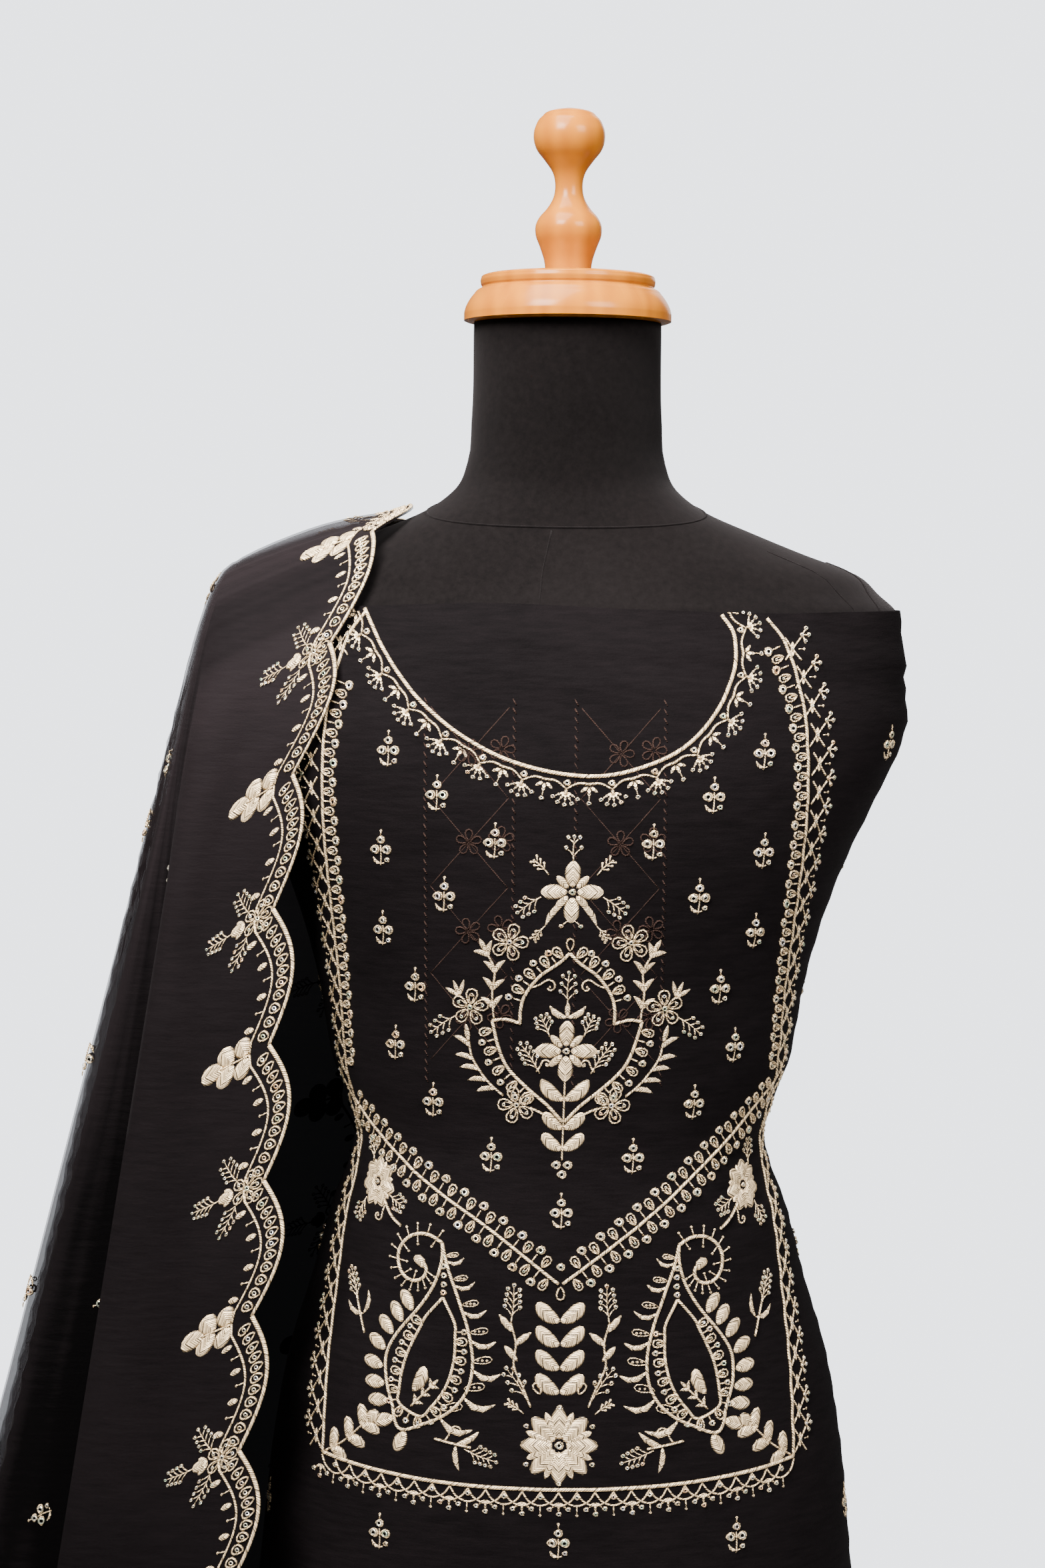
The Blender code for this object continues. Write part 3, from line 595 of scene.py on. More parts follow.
def dupatta_ground():
    """The dupatta as a ground: u is minus across, v is minus along."""
    drape = Drape()
    u = np.linspace(-DUPATTA_WIDTH - 0.02, 0.02, 307)
    v = np.linspace(-DUPATTA_FRONT - 0.02, DUPATTA_BACK + 0.02, 708)
    across, along = np.meshgrid(-u, -v)
    places = drape.points(along, across).reshape(len(v), len(u), 3)
    return Ground(u, v, places)


# ---------------------------------------------------------------- materials
CLOTH_GRAIN = 900.0     # threads of the weave
CLOTH_CONTRAST = 1.20   # between dark and pale patches of crepe
# Where a drape is one layer thin it is clearer and its colour gets painted brightness.
SHEER_BEARING = 1.10    # radians from the drape's side where it is one layer thin
SHEER_MOST = 0.45       # how thin it gets
SHEER_ALPHA = 1.15      # and how clear that makes it
# STREAKS is the strength of painted light and shade down a drape's folds.
STREAKS = 2.4           # strength of the streaks down the folds
# TWIST, STRANDS and RIM_SHADE set a thread's painted light and shade: lit crests and shaded
# gaps of its twist, painted glints and shade on strands, painted shade at its foot.
TWIST = 0.62            # strength of a thread's twist
STRANDS = 3.6           # and of its single strands
RIM_SHADE = 0.85        # how dark the foot of a thread is


class Tree:
    """Short calls for a node tree."""

    def __init__(self, tree):
        self.tree = tree

    def node(self, kind, inputs=(), **settings):
        """A node with its settings and its inputs, which are values or sockets."""
        made = self.tree.nodes.new(kind)
        for key, value in settings.items():
            setattr(made, key, value)
        self.feed(made, inputs)
        return made

    def feed(self, node, inputs):
        """Give a node its inputs, each a value or a socket to join to it."""
        for key, value in dict(inputs).items():
            if isinstance(value, bpy.types.NodeSocket):
                self.tree.links.new(value, node.inputs[key])
            else:
                node.inputs[key].default_value = value

    def math(self, operation, a, b=0.0):
        """The result of a sum on two values or sockets."""
        return self.node("ShaderNodeMath", {0: a, 1: b}, operation=operation).outputs[0]

    def add(self, a, b):
        """The sum of two values."""
        return self.math("ADD", a, b)

    def less(self, a, b):
        """The first value less the second."""
        return self.math("SUBTRACT", a, b)

    def times(self, a, b):
        """The product of two values."""
        return self.math("MULTIPLY", a, b)

    def within(self, value, low, high):
        """A value held between two others."""
        return self.math("MINIMUM", self.math("MAXIMUM", value, low), high)

    def noise(self, vector, scale, detail=2.0, roughness=0.5, distortion=0.0):
        """Soft noise round a half."""
        return self.node("ShaderNodeTexNoise", {
            "Vector": vector, "Scale": scale, "Detail": detail, "Roughness": roughness,
            "Distortion": distortion}).outputs[0]

    def place(self):
        """The object's own coordinates."""
        return self.node("ShaderNodeTexCoord").outputs["Object"]

    def mix(self, share, a, b, **settings):
        """A colour between two, or blended as the settings say."""
        return self.node("ShaderNodeMix", {0: share, 6: a, 7: b}, data_type="RGBA",
                         **settings).outputs[2]


def shader_group(name, inputs, outputs):
    """A new shader node group with its tree helper and its two end nodes."""
    group = bpy.data.node_groups.new(name, "ShaderNodeTree")
    for title, default in inputs:
        kind = "NodeSocketFloat" if isinstance(default, float) else "NodeSocketColor"
        socket = group.interface.new_socket(title, in_out="INPUT", socket_type=kind)
        socket.default_value = default
    for title, kind in outputs:
        group.interface.new_socket(title, in_out="OUTPUT", socket_type=kind)
    tree = Tree(group)
    return tree, tree.node("NodeGroupInput").outputs, tree.node("NodeGroupOutput")


def cloth_group():
    """Crinkled crepe cloth: its colour, height and sheerness at each place; on a drape the
    colour also carries painted light and shade.
    """
    found = bpy.data.node_groups.get("crepe cloth")
    if found:
        return found
    tree, source, sink = shader_group(
        "crepe cloth",
        [("Crinkle", 55.0), ("Stretch", 6.0), ("Painted light", 0.0),
         ("Colour", (0.02, 0.02, 0.02, 1.0))],
        [("Colour", "NodeSocketColor"), ("Height", "NodeSocketFloat"),
         ("Sheer", "NodeSocketFloat")])
    place = tree.place()
    apart = tree.node("ShaderNodeSeparateXYZ", {0: place}).outputs
    joined = tree.node("ShaderNodeCombineXYZ", {
        0: apart["X"], 1: apart["Y"], 2: tree.times(apart["Z"], source["Stretch"])})
    crinkle = tree.noise(joined.outputs[0], source["Crinkle"], 3.0, 0.6)
    height = tree.add(tree.times(crinkle, 0.75),
                      tree.times(tree.noise(place, CLOTH_GRAIN, 1.0), 0.25))
    tone = tree.add(tree.times(height, 0.6), tree.times(tree.noise(place, 9.0), 0.4))
    share = tree.add(tree.times(tree.less(tone, 0.5), CLOTH_CONTRAST), 0.5)
    # Painted light and shade on a drape: streaks down the folds, partly the overlap of
    # sheer layers and partly painted fold light and shade, painted brightness where it is
    # one layer thin, and painted light near the shoulder. The uv map holds each point's
    # bearing and distance from the shoulder, so the streaks run down the folds.
    fall = tree.node("ShaderNodeUVMap", uv_map="flat").outputs[0]
    polar = tree.node("ShaderNodeSeparateXYZ", {0: fall}).outputs
    drawn = tree.node("ShaderNodeMapping", {"Vector": fall, "Scale": (5.0, 0.8, 1.0)})
    streak = tree.noise(drawn.outputs[0], 1.6, 3.0, 0.6)
    # Where the drape is one layer thin: the Sheer output makes it clearer, and the colour
    # gets painted brightness.
    single = tree.less(SHEER_BEARING, tree.math("ABSOLUTE", polar["X"]))
    sheer = tree.within(single, 0.0, SHEER_MOST)
    painted_drape_light = tree.add(tree.times(tree.less(streak, 0.5), STREAKS), tree.times(sheer, 1.1))
    # Painted light near the shoulder, brightest at the top where the light falls.
    shoulder = tree.less(0.75, tree.times(polar["Y"], 2.0))
    painted_drape_light = tree.add(painted_drape_light, tree.math("MAXIMUM", shoulder, -0.15))
    share = tree.add(share, tree.times(painted_drape_light, source["Painted light"]))
    double = tree.times(tree.math("MAXIMUM", share, 0.12), 2.0)
    grey = tree.node("ShaderNodeCombineColor", {0: double, 1: double, 2: double})
    tree.feed(sink, {"Height": height, "Sheer": sheer, "Colour": tree.mix(
        1.0, source["Colour"], grey.outputs[0], blend_type="MULTIPLY")})
    return tree.tree


def thread_group():
    """Twisted or satin thread from the flat uv map: its height, and a colour of painted
    light and shade.
    """
    found = bpy.data.node_groups.get("laid thread")
    if found:
        return found
    tree, source, sink = shader_group(
        "laid thread",
        # Dark and Light are the painted shade and painted highlight of one thread colour.
        [("Pitch", 0.0007), ("Slant", 0.8), ("Dark", (0.3, 0.25, 0.2, 1.0)),
         ("Light", (0.7, 0.6, 0.5, 1.0))],
        [("Colour", "NodeSocketColor"), ("Height", "NodeSocketFloat")])
    flat = tree.node("ShaderNodeUVMap", uv_map="flat").outputs[0]
    apart = tree.node("ShaderNodeSeparateXYZ", {0: flat}).outputs
    run = tree.add(tree.add(apart["X"], tree.times(apart["Y"], source["Slant"])),
                   tree.times(tree.noise(flat, 700.0, 1.0), 0.0006))
    turns = tree.math("DIVIDE", run, source["Pitch"])
    # Painted light and shade of the twist: crests painted lit, gaps painted shaded; the
    # same wave also raises the bump.
    wave = tree.node("ShaderNodeMath", {
        0: tree.math("SINE", tree.times(turns, 2 * math.pi)), 1: 0.5, 2: 0.5},
        operation="MULTIPLY_ADD").outputs[0]
    laid = tree.node("ShaderNodeCombineXYZ", {
        "X": turns, "Y": tree.times(apart["Y"], 60.0)})
    # Painted glints and shade on single strands.
    strand = tree.noise(laid.outputs[0], 0.85, 1.0)
    strand = tree.times(tree.less(strand, 0.42), STRANDS)
    share = tree.times(tree.add(tree.times(wave, TWIST), strand),
                       tree.add(tree.noise(tree.place(), 260.0), 0.35))
    # Painted shade at the foot of each thread, where it meets the cloth.
    edge = tree.node("ShaderNodeAttribute", attribute_name="edge").outputs["Fac"]
    rim = tree.times(tree.math("POWER", edge, 3.0), RIM_SHADE)
    share = tree.times(tree.within(share, 0.0, 1.0), tree.less(1.0, rim))
    tree.feed(sink, {"Height": wave,
                     "Colour": tree.mix(share, source["Dark"], source["Light"])})
    return tree.tree


def new_material(name):
    """A material, its tree helper and its shader; only the material if it exists."""
    material = bpy.data.materials.get(name)
    if material:
        return material, None, None
    material = bpy.data.materials.new(name)
    material.use_nodes = True
    return material, Tree(material.node_tree), material.node_tree.nodes["Principled BSDF"]


def add_bump(tree, shader, height, strength, distance):
    """Feed the shader's normal from a height."""
    bump = tree.node("ShaderNodeBump", {"Height": height, "Strength": strength,
                                        "Distance": distance})
    tree.feed(shader, {"Normal": bump.outputs[0]})


def cloth_material(name, colour, roughness, alpha=1.0, sheen=0.012, crinkle=55.0,
                   stretch=6.0, depth=0.0008, folds=0.0):
    """Soft black cloth with a crepe surface."""
    material, tree, shader = new_material(name)
    if tree is None:
        return material
    group = tree.node("ShaderNodeGroup", node_tree=cloth_group())
    tree.feed(group, {"Crinkle": crinkle, "Stretch": stretch, "Painted light": folds,
                      "Colour": (*colour, 1.0)})
    # folds sets the strength of painted light and shade on a drape, which is also made
    # clearer where it is one layer thin.
    if folds:
        alpha = tree.less(alpha, tree.times(group.outputs["Sheer"], SHEER_ALPHA))
    tree.feed(shader, {
        "Base Color": group.outputs["Colour"], "Roughness": roughness,
        "Specular IOR Level": 0.02, "Sheen Weight": sheen, "Sheen Roughness": 0.55,
        "Sheen Tint": (0.62, 0.56, 0.56, 1.0), "Alpha": alpha})
    add_bump(tree, shader, group.outputs["Height"], 0.5, depth)
    return material


def thread_material(name, light, dark, pitch, slant, metallic, roughness):
    """Embroidery thread laid in a row of stitches."""
    material, tree, shader = new_material(name)
    if tree is None:
        return material
    group = tree.node("ShaderNodeGroup", node_tree=thread_group())
    # light is the thread's painted highlight and dark its painted shade.
    tree.feed(group, {"Pitch": pitch, "Slant": slant, "Dark": (*dark, 1.0),
                      "Light": (*light, 1.0)})
    tree.feed(shader, {"Base Color": group.outputs["Colour"], "Roughness": roughness,
                       "Metallic": metallic})
    if metallic == 0.0:
        tree.feed(shader, {"Specular IOR Level": 0.0})
    add_bump(tree, shader, group.outputs["Height"], 0.8, 0.0003)
    return material


def gold_thread():
    """Champagne thread for ropes, leaves and outlines."""
    light = np.array(colours().thread)
    # A copy 2.6 times as bright, above 1 in red, is the thread's painted highlight, and a
    # copy 0.12 times as bright its painted shade.
    return thread_material("champagne thread", light * 2.60, light * 0.12, 0.0016, 1.1,
                           0.30, 0.32)


def under_thread():
    """The thread of the layer below, dimmed by the cloth over it."""
    light = np.array(colours().under_thread)
    # The dimmed colour is the lit side and a copy 0.45 times as bright the painted shade.
    return thread_material("dimmed thread", light, light * 0.45, 0.0012, 0.6, 0.0, 0.7)


def sequin_material():
    """Pale gold sequins whose tint changes from one to the next."""
    material, tree, shader = new_material("pale gold sequin")
    if tree is None:
        return material
    tint = tree.node("ShaderNodeAttribute", attribute_name="tint").outputs["Fac"]
    ramp = tree.node("ShaderNodeValToRGB", {0: tint})
    gold = tuple(colours().sequin)
    stops = ((0.0, gold), (0.55, (0.90, 0.83, 0.68)), (0.72, (0.62, 0.76, 0.55)),
             (0.84, (0.88, 0.50, 0.26)), (0.93, (0.95, 0.93, 0.90)))
    while len(ramp.color_ramp.elements) < len(stops):
        ramp.color_ramp.elements.new(0.5)
    for element, (place, colour) in zip(ramp.color_ramp.elements, stops):
        element.position = place
        element.color = (*colour, 1.0)
    tree.feed(shader, {"Base Color": ramp.outputs[0], "Metallic": 0.85, "Roughness": 0.22})
    return material


def wood_material():
    """Varnished honey-coloured wood with its grain along the axis."""
    material, tree, shader = new_material("varnished wood")
    if tree is None:
        return material
    long_way = tree.node("ShaderNodeMapping", {
        "Vector": tree.place(), "Scale": (1.0, 1.0, 0.16),
        "Rotation": (0.12, 0.05, 0.0)}).outputs[0]
    figure = tree.noise(long_way, 42.0, 5.0, distortion=0.6)
    rings = tree.node("ShaderNodeTexWave", {
        "Vector": long_way, "Scale": 26.0, "Distortion": 5.0, "Detail": 3.0,
        "Detail Scale": 1.4}).outputs[1]
    share = tree.add(tree.times(figure, 0.7), tree.times(rings, 0.3))
    light, dark = tuple(colours().wood_light), tuple(colours().wood_dark)
    tree.feed(shader, {
        "Base Color": tree.mix(share, (*dark, 1.0), (*light, 1.0)),
        "Roughness": tree.add(tree.times(figure, 0.12), 0.20), "Coat Weight": 0.08,
        "Specular IOR Level": 0.12, "Coat Roughness": 0.12})
    add_bump(tree, shader, share, 0.15, 0.0004)
    return material


# ---------------------------------------------------------------- needlework
ROPE_SECTION = np.array([(-1.0, 0.0), (1.0, 0.0), (0.72, 0.72), (0.0, 1.0), (-0.72, 0.72)])
LEAF_SECTION = np.array([(-1.0, 0.0), (1.0, 0.0), (0.66, 0.90), (0.0, 0.95), (-0.66, 0.90)])
THREAD_SECTION = np.array([(-1.0, 0.0), (1.0, 0.0), (0.0, 1.0)])


def smooth_line(knots, step):
    """A smooth flat line through the knots, with its points about a step apart."""
    k = np.asarray(knots, dtype=complex)
    ext = np.concatenate([[2 * k[0] - k[1]], k, [2 * k[-1] - k[-2]]])
    t = np.linspace(0.0, 1.0, 14, endpoint=False)
    parts = [0.5 * (2 * b + (c - a) * t + (2 * a - 5 * b + 4 * c - d) * t**2
                    + (3 * b - a - 3 * c + d) * t**3)
             for a, b, c, d in zip(ext, ext[1:], ext[2:], ext[3:])]
    line = np.concatenate([*parts, k[-1:]])
    run = distances(line)
    even = np.linspace(0.0, run[-1], max(3, int(math.ceil(run[-1] / step)) + 1))
    return np.interp(even, run, line.real) + 1j * np.interp(even, run, line.imag)


class Stitchwork:
    """Raised embroidery on flat cloth, gathered until it is laid on a ground."""

    def __init__(self):
        self.flat, self.height, self.uv, self.faces, self.edge = [], [], [], [], []
        self.count = 0
        self.spots = []

    def add(self, flat, height, uv, faces, edge):
        """Flat points as complex numbers, their heights and faces between them."""
        self.flat.append(flat)
        self.edge.append(edge)
        self.height.append(height)
        self.uv.append(uv)
        self.faces.append(faces + self.count)
        self.count += len(flat)

    def lean(self):
        """Lean what was gathered so far to the right above the waist."""
        def shift(height):
            return LEAN * np.maximum(height - LEAN_FROM, 0.0)
        self.flat = [flat + shift(flat.imag) for flat in self.flat]
        self.spots = [(u + shift(v), v, size) for u, v, size in self.spots]

    def piece(self, name, ground, material, rise=0.0):
        """Lay all that was gathered on the ground as one dressed piece."""
        flat = np.concatenate(self.flat)
        places, _ = ground.lay(flat.real, flat.imag, np.concatenate(self.height) + rise)
        faces = [face[:3] if face[2] == face[3] else face
                 for face in np.concatenate(self.faces).tolist()]
        dress(mesh_piece(name, places, faces, material, np.concatenate(self.uv),
                         edge=np.concatenate(self.edge)), slot="gold_thread")


class Pen:
    """Draws on flat cloth from a place, in a direction, maybe mirrored.

    The place is in metres, and all that the pen draws is in millimetres.
    """

    def __init__(self, work, at=0j, turn=1 + 0j, mirror=False):
        self.work, self.at, self.turn, self.mirror = work, at, turn, mirror

    def flat(self, points):
        """Flat cloth points, in metres, of the pen's own points."""
        points = np.asarray(points, dtype=complex) * MM
        return self.at + self.turn * (points.conj() if self.mirror else points)

    def moved(self, at, angle=0.0):
        """A pen at a point of this one, turned by an angle."""
        spin = np.exp(-1j * angle if self.mirror else 1j * angle)
        return Pen(self.work, complex(self.flat(at)), self.turn * spin, self.mirror)

    def tube(self, line, width, height, section, closed=False, taper=None):
        """A raised line of stitches along points; a leaf's stitches meet in a V."""
        line = self.flat(line)
        if closed:
            line = line[:-1]
            ahead = np.roll(line, -1) - np.roll(line, 1)
        else:
            ahead = np.gradient(line)
        aside = 1j * ahead / np.maximum(np.abs(ahead), 1e-12)
        taper = np.ones(len(line)) if taper is None else taper
        half, lift = width * MM / 2 * taper, height * MM * taper
        n, m = len(line), len(section)
        flat = line[:, None] - aside[:, None] * section[None, :, 0] * half[:, None]
        up = section[None, :, 1] * lift[:, None]
        run = distances(line)
        across = np.abs(section[:, 0]) if section is LEAF_SECTION else section[:, 0]
        uv = np.stack([np.repeat(run[:, None], m, 1), across * half[:, None]], axis=-1)
        # How near each point is to the thread's foot: the mask for its painted shade.
        edge = np.abs(section[:, 0]) * np.where(section[:, 1] > 0, 0.4, 1.0)
        i = np.arange(n if closed else n - 1)[:, None]
        j = np.arange(m)[None, :]
        k = (j + 1) % m
        nxt = (i + 1) % n
        quads = np.stack([i * m + j, nxt * m + j, nxt * m + k, i * m + k], axis=-1)
        quads = quads.reshape(-1, 4)
        if not closed:
            last = (n - 1) * m
            lids = [(0, 1, 2, 2), (last + 2, last + 1, last, last)]
            if m == 5:
                lids = [(0, 1, 2, 3), (0, 3, 4, 4), (last + 3, last + 2, last + 1, last),
                        (last + 4, last + 3, last, last)]
            quads = np.concatenate([quads, np.array(lids)])
        self.work.add(flat.ravel(), up.ravel(), uv.reshape(-1, 2), quads, np.tile(edge, n))

    def rope(self, knots, width=None, step=2.2):
        """A thick satin rope."""
        self.tube(smooth_line(knots, step), width or sizes().rope_width / MM,
                  sizes().thread_height / MM, ROPE_SECTION)

    def stem(self, knots, width=None, step=1.6, taper=None):
        """A thin line of stitches."""
        width = width or sizes().vine_width / MM
        line = smooth_line(knots, step)
        if taper is not None:
            taper = np.interp(np.linspace(0, 1, len(line)), (0.0, 1.0), taper)
        self.tube(line, width, width * 0.65, THREAD_SECTION, taper=taper)

    def ring(self, centre, length, width, angle=0.0, thread=0.85, steps=10):
        """A drop-shaped ring of thread that points along an angle."""
        t = np.linspace(0.0, 2 * math.pi, steps + 1)
        shape = (-np.cos(t) * length / 2
                 + 1j * np.sin(t) * width / 2 * (0.80 - 0.30 * np.cos(t)))
        line = centre + shape * np.exp(1j * angle)
        self.tube(line, thread, thread * 0.8, THREAD_SECTION, closed=True)

    def leaf(self, base, tip, width, bend=0.0, fat=0.75, steps=5):
        """A flat satin leaf between two points; a low fat makes it round."""
        base, tip = complex(base), complex(tip)
        t = 0.5 - 0.5 * np.cos(math.pi * np.linspace(0.0, 1.0, steps + 1))
        axis = tip - base
        spine = base + axis * t + 1j * axis * bend * np.sin(math.pi * t)
        size = np.sin(math.pi * t ** (1.45 - 0.7 * fat)) ** fat
        size[0], size[-1] = 0.08, 0.06
        self.tube(spine, width, min(0.9, width * 0.16), LEAF_SECTION, taper=size)

    def sequin(self, at, size=1.0):
        """A sequin sewn flat."""
        spot = complex(self.flat(at))
        self.work.spots.append((spot.real, spot.imag, size))

    def ringed(self, at, across, angle=0.0):
        """A sequin inside a ring of thread that is so many millimetres across."""
        thread = min(1.4, 0.20 * across)
        reach = across - thread
        steps = 10 if across > 4.5 else 8
        self.ring(at, reach, reach, angle, thread, steps)
        self.sequin(at, 0.5 * (reach - 0.5 * thread) * MM / sizes().sequin_radius)

    def knot(self, at):
        """A small knot of thread."""
        at = complex(at)
        self.leaf(at - 0.9, at + 0.9, 1.8, fat=0.4, steps=3)


# ---------------------------------------------------------------- motifs
def butti(pen):
    """A small trefoil of ringed sequins on a stem, 21 mm tall."""
    pen.knot(10.3j)
    pen.stem([7.8j, 10.0j], 1.0)
    for spot, across in ((5.0j, 5.8), (-3.7 - 0.8j, 6.8), (3.7 - 0.8j, 6.8)):
        pen.ringed(spot, across)
    pen.stem([1.8j, 0.3 - 4.0j, -0.2 - 10.4j])
    pen.leaf(-9.0j, -5.0 - 5.2j, 2.4, 0.2)
    pen.stem([-9.2j, 2.2 - 8.6j], 1.0)
    pen.ringed(3.9 - 6.9j, 3.8)


def dotted_sprig(pen, length, pairs, spread=0.75, dot=2.9):
    """A stem with paired side stalks that end in ringed dots, growing along +x."""
    pen.stem([0j, length * (0.5 + 0.03j), length], taper=(1.0, 0.7))
    pen.ringed(length + dot * 0.4, dot)
    for i in range(pairs):
        share = i / max(pairs - 1, 1)
        root = length * (0.20 + 0.55 * share)
        reach = 5.6 - 1.6 * share
        for side in (-1, 1):
            way = np.exp(1j * side * spread)
            tip = root + reach * way
            pen.stem([root, root + reach * 0.55 * way * np.exp(-0.15j * side), tip],
                     0.9, step=2.2)
            pen.ringed(tip + dot * 0.45 * way, dot)


def knot_sprig(pen, length, spread=0.75):
    """A curved stem whose short side stalks end in knots, growing along +x."""
    pen.stem([0j, length * (0.5 + 0.06j), length], 1.0)
    pen.knot(length)
    for share in (0.34, 0.60, 0.84):
        root = length * (share + 0.05j)
        for side in (-1, 1):
            tip = root + 0.30 * length * np.exp(1j * side * spread)
            pen.stem([root, tip], 0.9)
            pen.knot(tip)


def leafy_branch(pen, knots, leaves, leaf_length, leaf_width, spread=0.75, sides=(-1, 1),
                 fat=0.75):
    """A curved stem with pointed leaves beside it and one at its end."""
    line = smooth_line(knots, 1.2)
    pen.stem(knots, 1.6)
    for i in range(leaves):
        n = min(int((0.15 + 0.78 * i / max(leaves - 1, 1)) * (len(line) - 1)),
                len(line) - 2)
        ahead = unit_way(line[n + 1] - line[n])
        for side in sides:
            way = ahead * np.exp(1j * side * spread)
            pen.leaf(line[n], line[n] + leaf_length * way, leaf_width, -0.12 * side, fat)
    pen.leaf(line[-1], line[-1] + unit_way(line[-1] - line[-2]) * leaf_length * 0.9,
             leaf_width, fat=fat)


def unit_way(step):
    """A flat direction of length 1."""
    return step / abs(step)


def round_ways(count, start=math.pi / 2):
    """Flat directions evenly spaced round a circle."""
    return [np.exp(1j * (2 * math.pi * i / count + start)) for i in range(count)]


def satin_flower(pen, radius, petals, width, small=0.72):
    """Broad padded petals with narrow ones between them, round a ringed heart."""
    for way in round_ways(petals, math.pi / 2 + math.pi / petals):
        pen.leaf(radius * 0.18 * way, radius * small * way, width * 0.52, fat=0.5)
    for way in round_ways(petals):
        pen.leaf(radius * 0.16 * way, radius * way, width, fat=0.48, steps=8)
    pen.ringed(0j, max(radius * 0.26, 3.0))


def loop_flower(pen, radius):
    """A flower of thread loops with a sequin in each."""
    for way in round_ways(5):
        for out, long, wide, thread in ((0.62, 0.84, 0.74, 1.3), (0.52, 0.50, 0.34, 0.8)):
            pen.ring(radius * out * way, radius * long, radius * wide, np.angle(way),
                     thread)
        pen.sequin(radius * 0.72 * way, 0.72)
    pen.ringed(0j, 4.4)


def heart_pair(pen, size):
    """Two broad leaves that rise from a stem in a V."""
    for side in (-1, 1):
        pen.leaf(side * 0.3, size * (side * 0.80 + 0.66j), size * 0.56,
                 -0.10 * side, fat=0.42, steps=8)


def looped_side(pen, line, side, reach=1.0, ringed=6.4):
    """Drop loops and stalked rings in turn along one side of a line of places."""
    for i in range(1, len(line) - 1):
        way = side * 1j * unit_way(line[i + 1] - line[i - 1])
        if i % 2:
            for out, long, wide, thread in ((5.6, 7.4, 5.4, 1.4), (4.7, 3.9, 2.0, 0.8)):
                pen.ring(line[i] + way * out * reach, long, wide, np.angle(way), thread)
            pen.sequin(line[i] + way * 6.8 * reach, 0.62)
        else:
            pen.stem([line[i] + way * 1.0, line[i] + way * 6.0 * reach], 1.2)
            pen.ringed(line[i] + way * 9.2 * reach, ringed)


def fan_flower(pen):
    """A fan of ringed sequins on a short stalk, growing along +y."""
    pen.stem([0j, 2.6j], 2.2)
    for angle in (-1.0, -0.5, 0.0, 0.5, 1.0):
        tip = 7.4 * np.exp(1j * (math.pi / 2 + angle))
        pen.leaf(1.2j, tip, 1.7)
        pen.ringed(tip + 1.2 * np.exp(1j * (math.pi / 2 + angle)), 3.0)


def vine_sprig(pen):
    """Three pointed leaves and a dot, growing along +y."""
    for angle, reach in ((-0.95, 6.2), (0.0, 6.6), (0.95, 6.2)):
        way = np.exp(1j * (math.pi / 2 + angle))
        pen.leaf(0.8 * way, reach * way, 2.4)
    pen.stem([6.4j, 8.4j], 0.9)
    pen.ringed(9.9j, 3.2)


def curl(pen, size):
    """A stalk that ends in a small spiral, growing along +x."""
    turn = np.linspace(0.0, 4.6, 9)
    centre = size * (1.0 + 0.30j)
    pen.stem([0j, size * 0.5, *(centre + size * (0.42 - 0.065 * turn)
                                * np.exp(1j * (turn - math.pi / 2)))], 1.4)
    pen.knot(centre)


# ---------------------------------------------------------------- sequins
def sequin_nodes():
    """Geometry Nodes that set a dished washer on every point of a mesh."""
    tree = bpy.data.node_groups.new("sequins on points", "GeometryNodeTree")
    tree.interface.new_socket("Geometry", in_out="INPUT", socket_type="NodeSocketGeometry")
    for title, kind, default in (("Radius", "NodeSocketFloat", 0.0016),
                                 ("Tilt", "NodeSocketFloat", 0.30),
                                 ("Seed", "NodeSocketInt", 7),
                                 ("Material", "NodeSocketMaterial", None)):
        socket = tree.interface.new_socket(title, in_out="INPUT", socket_type=kind)
        if default is not None:
            socket.default_value = default
    tree.interface.new_socket("Geometry", in_out="OUTPUT", socket_type="NodeSocketGeometry")
    make = Tree(tree)
    source = make.node("NodeGroupInput").outputs
    ring, bar = (make.node("GeometryNodeCurvePrimitiveCircle", {
        "Resolution": count, "Radius": make.times(source["Radius"], share)}).outputs[0]
        for count, share in ((7, 0.66), (3, 0.36)))
    thin = make.node("GeometryNodeTransform", {"Geometry": bar, "Scale": (1.0, 0.42, 1.0)})
    washer = make.node("GeometryNodeCurveToMesh", {
        "Curve": ring, "Profile Curve": thin.outputs[0]})
    facing, size = (make.node("GeometryNodeInputNamedAttribute", {"Name": name},
                              data_type=kind).outputs[0]
                    for name, kind in (("facing", "FLOAT_VECTOR"), ("size", "FLOAT")))
    wobble = make.node("FunctionNodeRandomValue", {
        0: (-1.0, -1.0, -1.0), 1: (1.0, 1.0, 1.0), "Seed": source["Seed"]},
        data_type="FLOAT_VECTOR")
    sway = make.node("ShaderNodeVectorMath", {
        0: wobble.outputs[0], "Scale": source["Tilt"]}, operation="SCALE")
    lean = make.node("ShaderNodeVectorMath", {0: facing, 1: sway.outputs[0]},
                     operation="ADD")
    aim = make.node("FunctionNodeAlignRotationToVector", {"Vector": lean.outputs[0]},
                    axis="Z")
    spread = make.node("GeometryNodeInstanceOnPoints", {
        "Points": source["Geometry"], "Instance": washer.outputs[0],
        "Rotation": aim.outputs[0], "Scale": size})
    tint = make.node("FunctionNodeRandomValue", {"Seed": source["Seed"]}, data_type="FLOAT")
    stored = make.node("GeometryNodeStoreNamedAttribute", {
        "Geometry": spread.outputs[0], "Name": "tint", "Value": tint.outputs[1]},
        data_type="FLOAT", domain="INSTANCE")
    real = make.node("GeometryNodeRealizeInstances", {"Geometry": stored.outputs[0]})
    done = make.node("GeometryNodeSetMaterial", {
        "Geometry": real.outputs[0], "Material": source["Material"]})
    make.node("NodeGroupOutput", {0: done.outputs[0]})
    return tree


